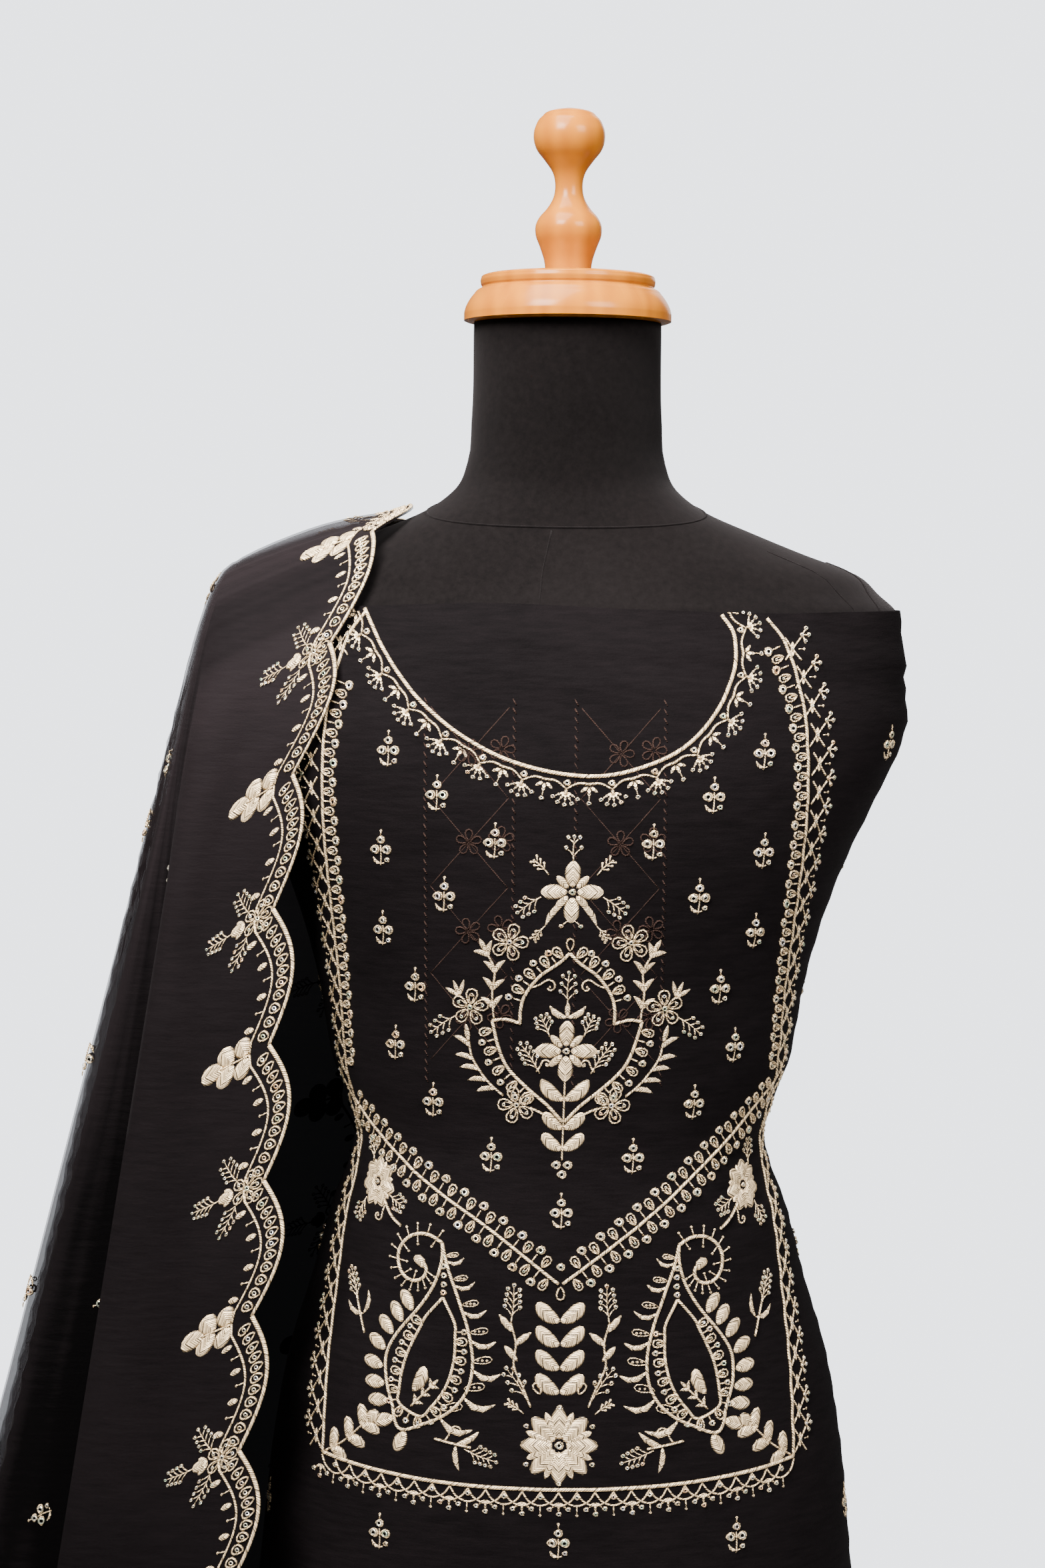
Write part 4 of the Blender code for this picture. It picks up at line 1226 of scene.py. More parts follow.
def nodes_result(name, holder, tree, values):
    """The plain mesh that a Geometry Nodes tree makes of an object, as a new piece."""
    modifier = holder.modifiers.new("nodes", "NODES")
    modifier.node_group = tree
    sockets = {item.name: item.identifier for item in tree.interface.items_tree
               if item.in_out == "INPUT"}
    for title, value in values.items():
        modifier[sockets[title]] = value
    bpy.context.view_layer.update()
    graph = bpy.context.evaluated_depsgraph_get()
    mesh = bpy.data.meshes.new_from_object(holder.evaluated_get(graph))
    mesh.name = name
    bpy.data.objects.remove(holder, do_unlink=True)
    piece = bpy.data.objects.new(name, mesh)
    bpy.context.scene.collection.objects.link(piece)
    if not mesh.polygons:
        raise RuntimeError(f"{name} came out empty")
    return piece


def sequin_piece(name, spots, ground, rise):
    """Every sequin of a piece of cloth, as one mesh."""
    spots = np.array(spots)
    places, normals = ground.lay(spots[:, 0], spots[:, 1], np.full(len(spots), rise))
    holder_mesh = bpy.data.meshes.new(name + "_points")
    holder_mesh.from_pydata(places.tolist(), [], [])
    facing = holder_mesh.attributes.new("facing", "FLOAT_VECTOR", "POINT")
    facing.data.foreach_set("vector", normals.astype(np.float32).ravel())
    size = holder_mesh.attributes.new("size", "FLOAT", "POINT")
    size.data.foreach_set("value", spots[:, 2].astype(np.float32))
    holder = bpy.data.objects.new(name + "_points", holder_mesh)
    bpy.context.scene.collection.objects.link(holder)
    tree = bpy.data.node_groups.get("sequins on points") or sequin_nodes()
    piece = nodes_result(name, holder, tree, {"Radius": sizes().sequin_radius, "Seed": 7,
                                              "Material": sequin_material()})
    dress(piece, slot="sequin")


# ---------------------------------------------------------------- kameez needlework
def side_border(work, side):
    """The rope down one side of the panel, with loops inside and a trellis outside."""
    top, bottom = KAMEEZ_TOP / MM - 3, PANEL_LOW
    pen = Pen(work, complex(side * sizes().panel_half, 0.0), 1j, mirror=side < 0)
    # The pen's +x runs up the rope and its +y points to the panel's middle.
    pen.rope([bottom, 0.5 * (bottom + top), 1210, 1282 + 5j, 1311 + 10j, 1327.5 + 15j,
              1342 + 21j, top + 31j])
    loops = np.arange(1078, 1349 if side > 0 else 1322, 5.9)
    loops = loops + 1j * border_bend(loops)
    looped_side(pen, loops, 1)
    pitch = 17.0
    for i in range(int((top - bottom) / pitch)):
        x = bottom + (i + 0.5) * pitch
        trellis = pen.moved(complex(x, border_bend(x)))
        for turn in (-1, 1):
            trellis.stem([turn * -6.8 - 1.4j, -6.4j, turn * 6.8 - 11.6j], 1.4)
            trellis.leaf(turn * 0.6 - 6.4j, turn * 4.8 - 6.4j, 2.2)
        trellis.ringed(-6.4j, 3.0)
        node = 8.5 - 12.4j
        for angle in (-1.0, 0.0, 1.0):
            tip = node + 4.6 * np.exp(1j * (-math.pi / 2 + angle))
            trellis.stem([node, tip], 1.1)
            trellis.ringed(tip, 3.2)
        trellis.ringed(node, 3.2)
        trellis.stem([-13.0j, -10.4j], 0.9)
        trellis.knot(-14.0j)


def border_bend(height):
    """How far the side ropes draw in towards the panel's middle near the top."""
    return 31 * np.clip((height - 1235) / 120, 0.0, 1.0) ** 2.2


def vee_line(work):
    """The V across the waist."""
    pen = Pen(work)
    half = sizes().panel_half / MM
    for side in (-1, 1):
        lift = 4 * side
        knots = [side * 1.2 + 961.5j, side * 45 + 994.5j, complex(side * 92, 1027 + lift),
                 complex(side * half, 1066 + 1.6 * lift)]
        pen.rope(knots)
        line = smooth_line(knots, 6.9)
        looped_side(pen, line, -side)
        looped_side(pen, line[1:], side)
    pen.ring(955.9j, 7.4, 5.4, -math.pi / 2, 1.4)
    pen.ringed(971.5j, 5.6)


def neckline(work):
    """The U-shaped rope of the neck with the vine outside it."""
    pen = Pen(work)
    knots = [-120 + 1355.5j, -110 + 1335j, -96 + 1315j, -81 + 1299j, -60 + 1283j,
             -34 + 1270j, -4 + 1262.5j, 24 + 1261.5j, 52 + 1269j, 73 + 1281j,
             89 + 1300j, 98.5 + 1322j, 99 + 1343j, 91.5 + 1355.5j]
    pen.rope(knots, sizes().rope_width / MM * 1.2)
    line = smooth_line(knots, 12.6)
    outs = [-1j * unit_way(line[min(i + 1, len(line) - 1)] - line[max(i - 1, 0)])
            for i in range(len(line))]
    middle = len(line) // 2
    for i, (at, way) in enumerate(zip(line, outs)):
        if (i - middle) % 2:
            vine_sprig(pen.moved(at + way * 5.6, np.angle(way / 1j)))
            continue
        pen.ringed(at + way * 4.6, 4.6)
        fan_flower(pen.moved(at + way * 8.6, np.angle(way / 1j)))
        for j in (i - 1, i + 1):
            if 0 <= j < len(line):
                near = at + way * 8.2
                far = line[j] + outs[j] * 4.6
                bend = (near + far) / 2 - (way + outs[j]) * 0.9
                pen.stem([near, bend, far], 2.1, taper=(0.6, 1.0))


def medallion(work):
    """The flowered ogee on the chest."""
    pen = Pen(work)
    petals = 18.2, 4, 9.6
    high = pen.moved(1194j)
    satin_flower(high, *petals)
    dotted_sprig(high.moved(18j, math.pi / 2), 13, 2, 0.7)
    satin_flower(pen.moved(1099.4j), *petals)
    for side in (-1, 1):
        pen.leaf(1119.5j, side * 10.5 + 1126.5j, 4.4, -0.15 * side)
    pen.leaf(1119.5j, 1129j, 3.6)
    dotted_sprig(pen.moved(1126j, math.pi / 2), 19, 3, 0.72)
    for half in (Pen(work, 0j, -1 + 0j, mirror=True), pen):
        upper_sprays(half.moved(1194j))
        ogee_half(half)
        half.leaf(1070j, 13.8 + 1082.5j, 8.6, -0.12, fat=0.5, steps=8)
    for height in (1053, 1040.5):
        heart_pair(pen.moved(height * 1j), 14.5)
    pen.stem([1085j, 1034j], 1.4)
    for spot in (-3.4 + 1031.2j, 3.4 + 1031.2j, 1025.6j):
        pen.ringed(spot, 6.2)


def upper_sprays(pen):
    """The right half of the sprays round the medallion's upper flower."""
    knot_sprig(pen.moved(14 + 10j, 0.75), 12)
    pen.leaf(4 - 6j, 15 - 20j, 4.2, 0.1)
    knot_sprig(pen.moved(15 - 20j, -0.95), 10, 0.7)
    dotted_sprig(pen.moved(18 - 3j, -0.62), 15, 3, 0.8)
    pen.stem([2 - 17j, 4.6 - 19j], 0.9)
    pen.ringed(5.6 - 20.2j, 3.0)


def ogee_half(pen):
    """The right half of the medallion's frame, with its flowers and branches."""
    ogee = [1158j, 6 + 1152j, 17 + 1144j, 25 + 1133j, 27.5 + 1124j, 27.5 + 1115.6j]
    pen.rope(ogee, 2.1)
    curl(pen.moved(22 + 1137j, math.pi - 0.35), 10.5)
    bowl = [44 + 1117j, 40 + 1102j, 34 + 1089j, 22 + 1077j, 10 + 1067j, 0.6 + 1057j]
    for knots in ([27 + 1115.6j, 36 + 1118j, 44 + 1117j], bowl):
        pen.rope(knots, 2.1)
    looped_side(pen, smooth_line(ogee[:-1], 5.6), 1, 0.92, 5.0)
    looped_side(pen, smooth_line(bowl[:-1], 6.0)[:-1], 1, 0.92, 5.0)
    pen.ring(1163j, 7.0, 5.0, math.pi / 2, 1.4)
    for spot, turn in ((35.4 + 1164j, 0.3), (57.3 + 1124.5j, 0.1), (27.8 + 1066.7j, -0.3)):
        loop_flower(pen.moved(spot, turn), 10.6)
    leafy_branch(pen, [43 + 1118j, 44.5 + 1133j, 43.5 + 1147j, 49 + 1158j], 4, 10, 3.6, 0.7)
    bud = 64 + 1131j
    for angle in (0.5, 1.15, 1.8):
        pen.leaf(bud, bud + 10 * np.exp(1j * angle), 3.0)
    dotted_sprig(pen.moved(66 + 1119j, -0.62), 17, 3, 0.8)
    leafy_branch(pen, [36 + 1072j, 46 + 1081j, 55 + 1094j, 57.5 + 1104j], 5,
                 12, 3.6, 0.85, (-1,))
    dotted_sprig(pen.moved(10 + 1108j, 1.15), 12, 3, 0.72)
    dotted_sprig(pen.moved(15 + 1086j, 0.98), 20, 4, 0.66)
    curl(pen.moved(17 + 1087j, 2.2), 7.0)
    pen.stem([6 + 1058j, 15 + 1063j, 20 + 1065j], 1.8)


# The paisley's body hangs from the tip of its curl along a bent axis.
PAISLEY_TIP = -15 + 14j
PAISLEY_BEND = -23 - 38j
PAISLEY_FOOT = 10 - 97j
PAISLEY_HALF = 27.0


def paisley_side(side, shares, width=1.0):
    """Places on one side of the paisley's body, or of a narrower one inside it."""
    s = np.asarray(shares)
    axis = ((1 - s) ** 2 * PAISLEY_TIP + 2 * s * (1 - s) * PAISLEY_BEND
            + s**2 * PAISLEY_FOOT)
    ahead = (1 - s) * (PAISLEY_BEND - PAISLEY_TIP) + s * (PAISLEY_FOOT - PAISLEY_BEND)
    half = PAISLEY_HALF * np.sin(math.pi * s**1.8)
    return axis + side * 1j * ahead / np.abs(ahead) * half * width


def big_paisley(pen):
    """A curled paisley; the origin is the middle of its curl and +x is outwards."""
    shares = np.linspace(0.0, 1.0, 13)
    outer = np.concatenate([paisley_side(1, shares), paisley_side(-1, shares[-2::-1])])
    pen.rope(outer, 2.1)
    turn = np.linspace(0.0, 5.9, 15)
    spiral = (20.6 - 2.9 * turn) * np.exp(1j * (2.40 - turn))
    pen.rope(spiral, 2.3, step=1.6)
    pen.leaf(-3.5 - 1.5j, 3.5 + 3.5j, 6.6, 0.2, fat=0.4)
    for i, angle in enumerate(np.linspace(2.2, -2.6, 15)):
        reach = 20.6 - 2.9 * (2.40 - angle)
        way = np.exp(1j * angle)
        for side in (1, -1):
            if side < 0 and (i % 2 or i > 10):
                continue
            tip = (reach + side * 6.0) * way
            pen.stem([(reach + side * 1.0) * way, tip], 1.0)
            pen.knot(tip)
    # Broad satin leaves on the outer side and round the foot.
    foot = np.concatenate([paisley_side(1, np.linspace(0.34, 1.0, 40)),
                           paisley_side(-1, np.linspace(1.0, 0.90, 8))[1:]])
    roots = smooth_line(foot[::4], 9.9)
    for i in range(1, len(roots) - 1):
        way = 1j * unit_way(roots[i + 1] - roots[i - 1]) * np.exp(0.28j)
        pen.leaf(roots[i] + way * 1.9, roots[i] + way * 15.4, 8.6, fat=0.46, steps=8)
    # Claws and dotted pods on the inner side.
    for i, share in enumerate(np.linspace(0.10, 0.86, 7)):
        root = complex(paisley_side(-1, share))
        size = 0.70 + 0.09 * i
        pen.leaf(root, root + (-16.5 + (3.0 - i) * 1.6j) * size, 3.8 * size, 0.26)
        pod = root + (-5.6 + 5.2j) * size
        pen.ring(pod, 11.0 * size, 4.6 * size, math.pi * 0.94, 0.9)
        for k in (-1, 0, 1):
            pen.knot(pod + k * 2.6 * size)
    # An inner drop with loops round it, and a leaf and sprig inside.
    shares, narrow = np.linspace(0.42, 0.90, 9), 0.54
    drop = np.concatenate([paisley_side(1, shares, narrow),
                           paisley_side(-1, shares[::-1], narrow)])
    point = paisley_side(1, [0.30], 0.0)
    pen.rope(np.concatenate([point, drop, point]), 1.9)
    looped_side(pen, smooth_line(drop, 5.6), 1, 0.62, 4.4)
    for share in (0.08, 0.13, 0.18, 0.23, 0.275):
        pen.ringed(complex(paisley_side(1, share, 0.0)), 4.4)
    leafy_branch(pen, [3 - 83j, -4 - 76j, -10 - 70j], 3, 6, 2.4)
    pen.leaf(2 - 74j, -5 - 59j, 8.6, 0.1, fat=0.45)


def lower_panel(work):
    """The stem, flower and paisleys below the V."""
    pen = Pen(work)
    for height in (939.5, 925.5, 911.5, 897.5):
        heart_pair(pen.moved(height * 1j), 16.8)
    flower = pen.moved(866.5j)
    for way in round_ways(6, math.pi / 6):
        flower.ringed(22.5 * way, 3.6)
    satin_flower(flower, 23.0, 8, 10.4, 0.92)
    for half in (Pen(work, 0j, -1 + 0j, mirror=True), pen):
        dotted_sprig(half.moved(29 + 938j, 1.65), 21, 4, 0.7, 3.2)
        half.stem([17 + 889j, 21 + 899j, 27 + 913j, 26 + 926j, 29 + 938j], 1.6)
        for base, tip in ((25 + 916j, 33 + 925j), (27 + 925j, 17 + 933j),
                          (28 + 933j, 36 + 943j)):
            half.leaf(base, tip, 4.6)
        dotted_sprig(half.moved(19 + 893j, 0.98), 21, 3, 0.7, 3.2)
        half.ring(13 + 900j, 7, 5, 1.1, 1.4)
        knot_sprig(half.moved(21 + 885j, 0.55), 11, 0.6)
        big_paisley(half.moved(86 + 969j))
        corner_flower(half.moved(121 + 1013j))
        half.stem([114 + 1004j, 106 + 995j, 99 + 990j], 2.2)
        curl(half.moved(112 + 1001j, -1.2), 8)
        leafy_branch(half, [148 + 852j, 134 + 860j, 119 + 873j], 3, 13, 8.0, 0.95, fat=0.46)
        half.stem([122 + 925j, 127 + 938j, 130 + 946j], 1.6)
        half.leaf(124 + 936j, 137 + 942j, 3.6, -0.2)
        half.leaf(124 + 936j, 121 + 950j, 3.4, 0.15)
        dotted_sprig(half.moved(128 + 941j, 1.15), 21, 4, 0.6)
        half.stem([74 + 868j, 64 + 866j, 52 + 864j], 1.8)
        curl(half.moved(68 + 867j, 2.2), 9)
        half.leaf(62 + 865j, 47 + 874j, 4.2, 0.1)
        half.leaf(61 + 865j, 59 + 850j, 3.8, 0.1)
        dotted_sprig(half.moved(56 + 863j, math.pi + 0.35), 19, 4, 0.8)


def corner_flower(pen):
    """A ragged flower with sprigs at the panel's waist corner."""
    satin_flower(pen, 15.0, 7, 9.0, 0.9)
    for spot, turn, length in ((-11 - 6j, -2.7, 12), (7 + 11j, 1.35, 14),
                               (9 - 10j, -1.1, 13)):
        dotted_sprig(pen.moved(spot, turn), length, 3)


def panel_sag(across):
    """How far the panel's lowest rope hangs below its corners."""
    return 10.5 * (1 - (across * MM / sizes().panel_half) ** 2)


def bottom_border(work):
    """The rope under the panel with its net and hanging dots."""
    half, bays = sizes().panel_half / MM, 14
    along = np.linspace(-half, half, bays + 1)
    rope = along + 1j * (PANEL_LOW - panel_sag(along))
    Pen(work).rope(rope, sizes().rope_width / MM * 1.15)
    pitch = 2 * half / bays
    for i in range(bays):
        pen = Pen(work, rope[i] * MM, (rope[i + 1] - rope[i]) / pitch)
        for start in (0.0, 0.5):
            swag = [(start + s) * pitch - 1j * d for s, d in
                    ((0.0, 1.6), (0.18, 7.0), (0.5, 9.6), (0.82, 7.0), (1.0, 1.6))]
            if start == 0.0 or i < bays - 1:
                pen.stem(swag, 1.4)
        pen.ringed(0.5 * pitch - 4.6j, 4.0)
        pen.stem([0.5 * pitch - 9j, 0.5 * pitch - 14j], 1.0)
        pen.knot(0.5 * pitch - 15.2j)
        for angle in (-0.95, 0.0, 0.95):
            way = np.exp(1j * (angle - math.pi / 2))
            pen.leaf(-7.6j, -7.6j + 5.4 * way, 2.0)
            pen.ringed(-7.6j + 6.8 * way, 3.6)


def panel_buttis(work):
    """Small sprigs between the chest motifs."""
    for spot in [111 + 1275j, 81 + 1250j, 115 + 1217j, 46 + 1223j, 75 + 1191j,
                 114 + 1169j, 92 + 1136j, 105 + 1100j, 79 + 1067j, 42 + 1036j]:
        for place in (-spot.conjugate(), spot):
            butti(Pen(work, place * MM))
    butti(Pen(work, 1004j * MM))


def scattered_buttis(work, front):
    """Sprigs in offset rows over the rest of a kameez panel."""
    across, down = sizes().butti_across, sizes().butti_down
    low_row, margin = 0.81 - 6 * down, 0.02     # the seventh row is under the panel
    for row in range(int((KAMEEZ_TOP - KAMEEZ_HEM) / down)):
        z = low_row + row * down
        if not KAMEEZ_HEM + 0.03 < z < KAMEEZ_TOP - margin:
            continue
        half_cloth = 0.5 * math.pi * 0.62 * sum(sample(KAMEEZ_ROWS, z)[1:3])
        for k in range(-4, 5):
            x = (k + 0.5 * (row % 2)) * across
            beside = z < 0.83 or abs(x) > sizes().panel_half + 0.030
            if abs(x) < half_cloth - margin and (beside or not front):
                butti(Pen(work, complex(x, z)))


def under_layer(work):
    """Braids, a lattice and flowers of the layer below the sheer cloth."""
    pen = Pen(work)
    braids = (-82, -30, 6, 58)
    for x in braids:
        for k in range(44):
            foot = complex(x, 1305 - 5.2 * k)
            pen.stem([foot - 1.0, foot + 1.0 - 3.6j], 1.5, step=3)
    drop = 52
    for left, right in (braids[:2], braids[2:]):
        left, right = left + 3, right - 3
        for k in range(4):
            top = 1300 - k * drop
            for near, far in ((left, right), (right, left)):
                pen.stem([complex(near, top), complex(far, top - drop)], 1.3, step=5)
            for x, z in (((left + right) / 2, top - 26), (right - 4, top - 24)):
                small = pen.moved(complex(x, z), 0.3 * k)
                for way in round_ways(5, 0.0):
                    small.ring(4.4 * way, 6.4, 5.0, np.angle(way), 1.6)


# ---------------------------------------------------------------- dupatta needlework
def leaf_spray(pen):
    """Five broad satin leaves that grow from a cusp along +y."""
    pen.stem([14j, 26j, 34j], 1.6)
    for root, reach, angle in ((16, 13.0, 1.12), (25, 14.5, 0.86)):
        for side in (-1, 1):
            way = np.exp(1j * (math.pi / 2 - side * angle))
            pen.leaf(root * 1j + way * 0.6, root * 1j + way * reach,
                     11.8, 0.0, fat=0.40, steps=8)
    pen.leaf(32j, 47j, 12.2, fat=0.40, steps=8)


def flower_spray(pen):
    """A loop flower on the cusp with three sprigs that grow along +y and aside."""
    loop_flower(pen.moved(12j, math.pi), 9.6)
    bud = pen.moved(20j, math.pi / 2)
    bud.leaf(1, 11, 7.4, fat=0.45)
    for side in (-1, 1):
        bud.leaf(1, 8.5 * np.exp(0.62j * side), 4.0, fat=0.5)
        dotted_sprig(pen.moved(side * 4 + 17j, math.pi / 2 - side * 1.02), 21, 4, 0.80, 2.7)
    dotted_sprig(pen.moved(30j, math.pi / 2), 17, 4, 0.80, 2.7)


def scallop_band(pen):
    """One scallop from cusp to cusp along +x; the cloth is on the +y side."""
    wide, deep = SCALLOP / MM, SCALLOP_DEPTH / MM
    rope, high = sizes().rope_width / MM, sizes().thread_height / MM
    x = np.linspace(0.0, wide, 23)
    arc = x - 1j * (deep * np.sin(math.pi * x / wide) - 1.2)
    pen.tube(arc, rope * 1.3, high, ROPE_SECTION)
    slope = math.pi * deep / wide * np.cos(math.pi * x / wide)
    way = (slope + 1j) / np.abs(slope + 1j)
    inner = arc + way * sizes().border_band / MM
    inner = inner[(inner.real > 0.0) & (inner.real < wide)]
    inner = np.concatenate([[complex(0.0, inner[0].imag + 1.0)], inner,
                            [complex(wide, inner[-1].imag + 1.0)]])
    pen.tube(inner, rope * 0.74, high * 0.85, ROPE_SECTION)
    places, ways = spread_along(arc, way, 11)
    for spot, aim in zip(places, ways):
        pen.ring(spot + aim * 6.6, 7.6, 6.4, np.angle(aim), 1.5)
        pen.sequin(spot + aim * 7.0, 0.98)
    places, _ = spread_along(inner, np.full(len(inner), 1j), 9)
    for i, spot in list(enumerate(places))[1:-1]:
        aim = np.exp(1j * (math.pi / 2 + 0.7 * (spot.real / wide - 0.5)))
        if i % 2:
            pen.leaf(spot + aim * 2.2, spot + aim * 9.0, 4.4, fat=0.5)
        else:
            pen.stem([spot, spot + aim * 5.0], 1.0)
            pen.knot(spot + aim * 5.6)


def spread_along(line, ways, count):
    """Evenly spaced places along a line, with the directions there."""
    run = distances(line)
    at = (np.arange(count) + 0.5) / count * run[-1]
    places = np.interp(at, run, line.real) + 1j * np.interp(at, run, line.imag)
    aims = np.interp(at, run, ways.real) + 1j * np.interp(at, run, ways.imag)
    return places, aims / np.abs(aims)


def dupatta_border(band, field):
    """The scalloped border round all four edges, with a spray at each cusp."""
    corners = [complex(-DUPATTA_WIDTH, -DUPATTA_FRONT), complex(0.0, -DUPATTA_FRONT),
               complex(0.0, DUPATTA_BACK), complex(-DUPATTA_WIDTH, DUPATTA_BACK)]
    for start, end in zip(corners, corners[1:] + corners[:1]):
        way = (end - start) / abs(end - start)
        count = round(abs(end - start) / SCALLOP)
        for i in range(count):
            cusp = start + way * SCALLOP * i
            scallop_band(Pen(band, cusp, way))
            if i:
                (flower_spray if i % 2 else leaf_spray)(Pen(field, cusp, way))


def dupatta_buttis(work):
    """Sprigs scattered in offset rows over the dupatta's field."""
    across, down = 0.150, 0.112
    rows = np.arange(-DUPATTA_FRONT + 0.115, DUPATTA_BACK - 0.10, down)
    for row, v in enumerate(rows):
        for k in range(5):
            u = -0.125 - (k + 0.5 * (row % 2)) * across
            if u > -DUPATTA_WIDTH + 0.09:
                butti(Pen(work, complex(u, v), 1j if v < 0 else -1j))


# ---------------------------------------------------------------- operators
class SUIT_OT_form(bpy.types.Operator):
    """Make the jersey-covered torso with its seams"""

    bl_idname = "suit.form"
    bl_label = "Dress Form"

    def execute(self, context):
        jersey = cloth_material("black jersey", colours().jersey, 0.85, sheen=0.05,
                                crinkle=240.0, stretch=1.0, depth=0.0003)
        levels = np.unique(np.concatenate([
            np.linspace(0.700, 1.357, 74), np.linspace(1.357, 1.445, 34),
            np.linspace(1.445, 1.5297, 12)]))
        around = np.arange(144) * 2 * math.pi / 144
        form = rings_piece("form_jersey_body", form_place(around[None, :], levels[:, None]),
                           jersey, math.radians(60.0))
        dress(form, "form_body", slot="form_jersey")
        dress(form_seams(jersey), slot="form_jersey")
        return {"FINISHED"}


def form_place(angle, height):
    """A place on the dress form; the arrays are of rings by heights."""
    angle, height = np.broadcast_arrays(angle, height)
    row = sample(FORM_ROWS, height)
    start, end = NECK_ROUND
    power = RING_POWER + (2.0 - RING_POWER) * ease((height - start) / (end - start))
    x, y = ring_point(row[..., 1], row[..., 2], row[..., 3], angle, power)
    return np.stack([x, y, height], axis=-1)


def form_seams(material):
    """Thin raised seams of the form's cover: at the neck, middle, sides and arms."""
    sides = 6
    points, faces, count = [], [], 0
    full = np.linspace(0.0, 2 * math.pi, 121)
    neck = form_place(full, 1.418 + 0.0130 * np.sin(full))
    seams = [(neck, 0.0007)]
    down = np.linspace(1.403, 0.72, 120)
    for angle in (-math.pi / 2 - 0.055, math.pi / 2):
        seams.append((form_place(np.full_like(down, angle), down), 0.00045))
    for side in (-1, 1):
        down = np.linspace(1.392, 0.72, 120)
        for front in (-1, 1):
            lean = 0.98 - 0.28 * ease((1.36 - down) / 0.25)
            angle = front * (math.pi / 2 - side * lean)
            seams.append((form_place(angle, down), 0.00045))
        arm = np.linspace(-0.62, 0.62, 60)
        angle = (0.0 if side > 0 else math.pi) + arm
        height = 1.3855 - 0.075 * (np.abs(arm) / 0.62) ** 2.2
        seams.append((form_place(angle, height), 0.0006))
    around = np.arange(sides) * 2 * math.pi / sides
    for line, radius in seams:
        ahead = unit(np.gradient(line, axis=0))
        out = unit(line * np.array([1.0, 1.0, 0.0]))
        side = unit(np.cross(ahead, out))
        out = np.cross(side, ahead)
        ring = (line[:, None] + radius * (np.cos(around)[None, :, None] * side[:, None]
                                          + np.sin(around)[None, :, None] * out[:, None]))
        points.append(ring.reshape(-1, 3))
        rows = len(line)
        faces += grid_quads(rows, sides, True, count).tolist()
        faces.append([count + j for j in range(sides)][::-1])
        faces.append([count + (rows - 1) * sides + j for j in range(sides)])
        count += rows * sides
    return mesh_piece("form_seams", np.concatenate(points), faces, material)


class SUIT_OT_wood(bpy.types.Operator):
    """Make the turned cap, finial, pole and base"""

    bl_idname = "suit.wood"
    bl_label = "Turned Wood"

    def execute(self, context):
        wood = wood_material()
        turned_piece("turned_neck_cap", CAP_ROWS, 96, wood, 6, "neck_cap")
        turned_piece("turned_finial", FINIAL_ROWS, 72, wood, 5, "finial")
        low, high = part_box("stand_pole")
        pole = np.array([
            (low.z, 0.0300), (low.z + 0.0057, 0.0300), (low.z + 0.0085, 0.0250),
            (low.z + 0.0137, 0.0190), (low.z + 0.0217, 0.0125), (0.30, 0.0125),
            (high.z, 0.0125)])
        turned_piece("turned_pole", pole, 48, wood, 3, "stand_pole")
        low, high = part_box("stand_base")
        base = np.array([
            (low.z, 0.1855), (low.z + 0.0015, 0.1880), (low.z + 0.004, 0.1900),
            (0.0140, 0.1900), (0.0190, 0.1868), (0.0220, 0.1840), (0.0250, 0.1780),
            (high.z, 0.1720)])
        turned_piece("turned_base", base, 128, wood, 4, "stand_base")
        return {"FINISHED"}


def turned_piece(name, rows, steps, material, finer, node):
    """A turned body from rows of height and radius, smoothed between them."""
    heights = np.concatenate([np.linspace(a, b, finer, endpoint=False)
                              for a, b in zip(rows[:-1, 0], rows[1:, 0])]
                             + [rows[-1:, 0]])
    radius = np.minimum(sample(rows, heights)[:, 1], rows[:, 1].max())
    angle = np.arange(steps) * 2 * math.pi / steps
    rings = np.stack([radius[:, None] * np.cos(angle), radius[:, None] * np.sin(angle),
                      np.repeat(heights[:, None], steps, axis=1)], axis=-1)
    dress(rings_piece(name, rings, material, math.radians(45.0)), node,
          slot="varnished_wood")


class SUIT_OT_kameez(bpy.types.Operator):
    """Make the front and back panels of the kameez"""

    bl_idname = "suit.kameez"
    bl_label = "Kameez"

    def execute(self, context):
        cloth = cloth_material("black georgette", colours().georgette, 0.72)
        for side, name, rows, columns in ((0, "kameez_front", 160, 107),
                                          (1, "kameez_back", 130, 91)):
            levels = np.linspace(KAMEEZ_HEM, KAMEEZ_TOP, rows)
            outer = kameez_faces(side, levels, columns)
            panel = wall_piece(name + "_cloth", outer, False, cloth)
            dress(panel, name, slot="kameez_georgette")
        return {"FINISHED"}


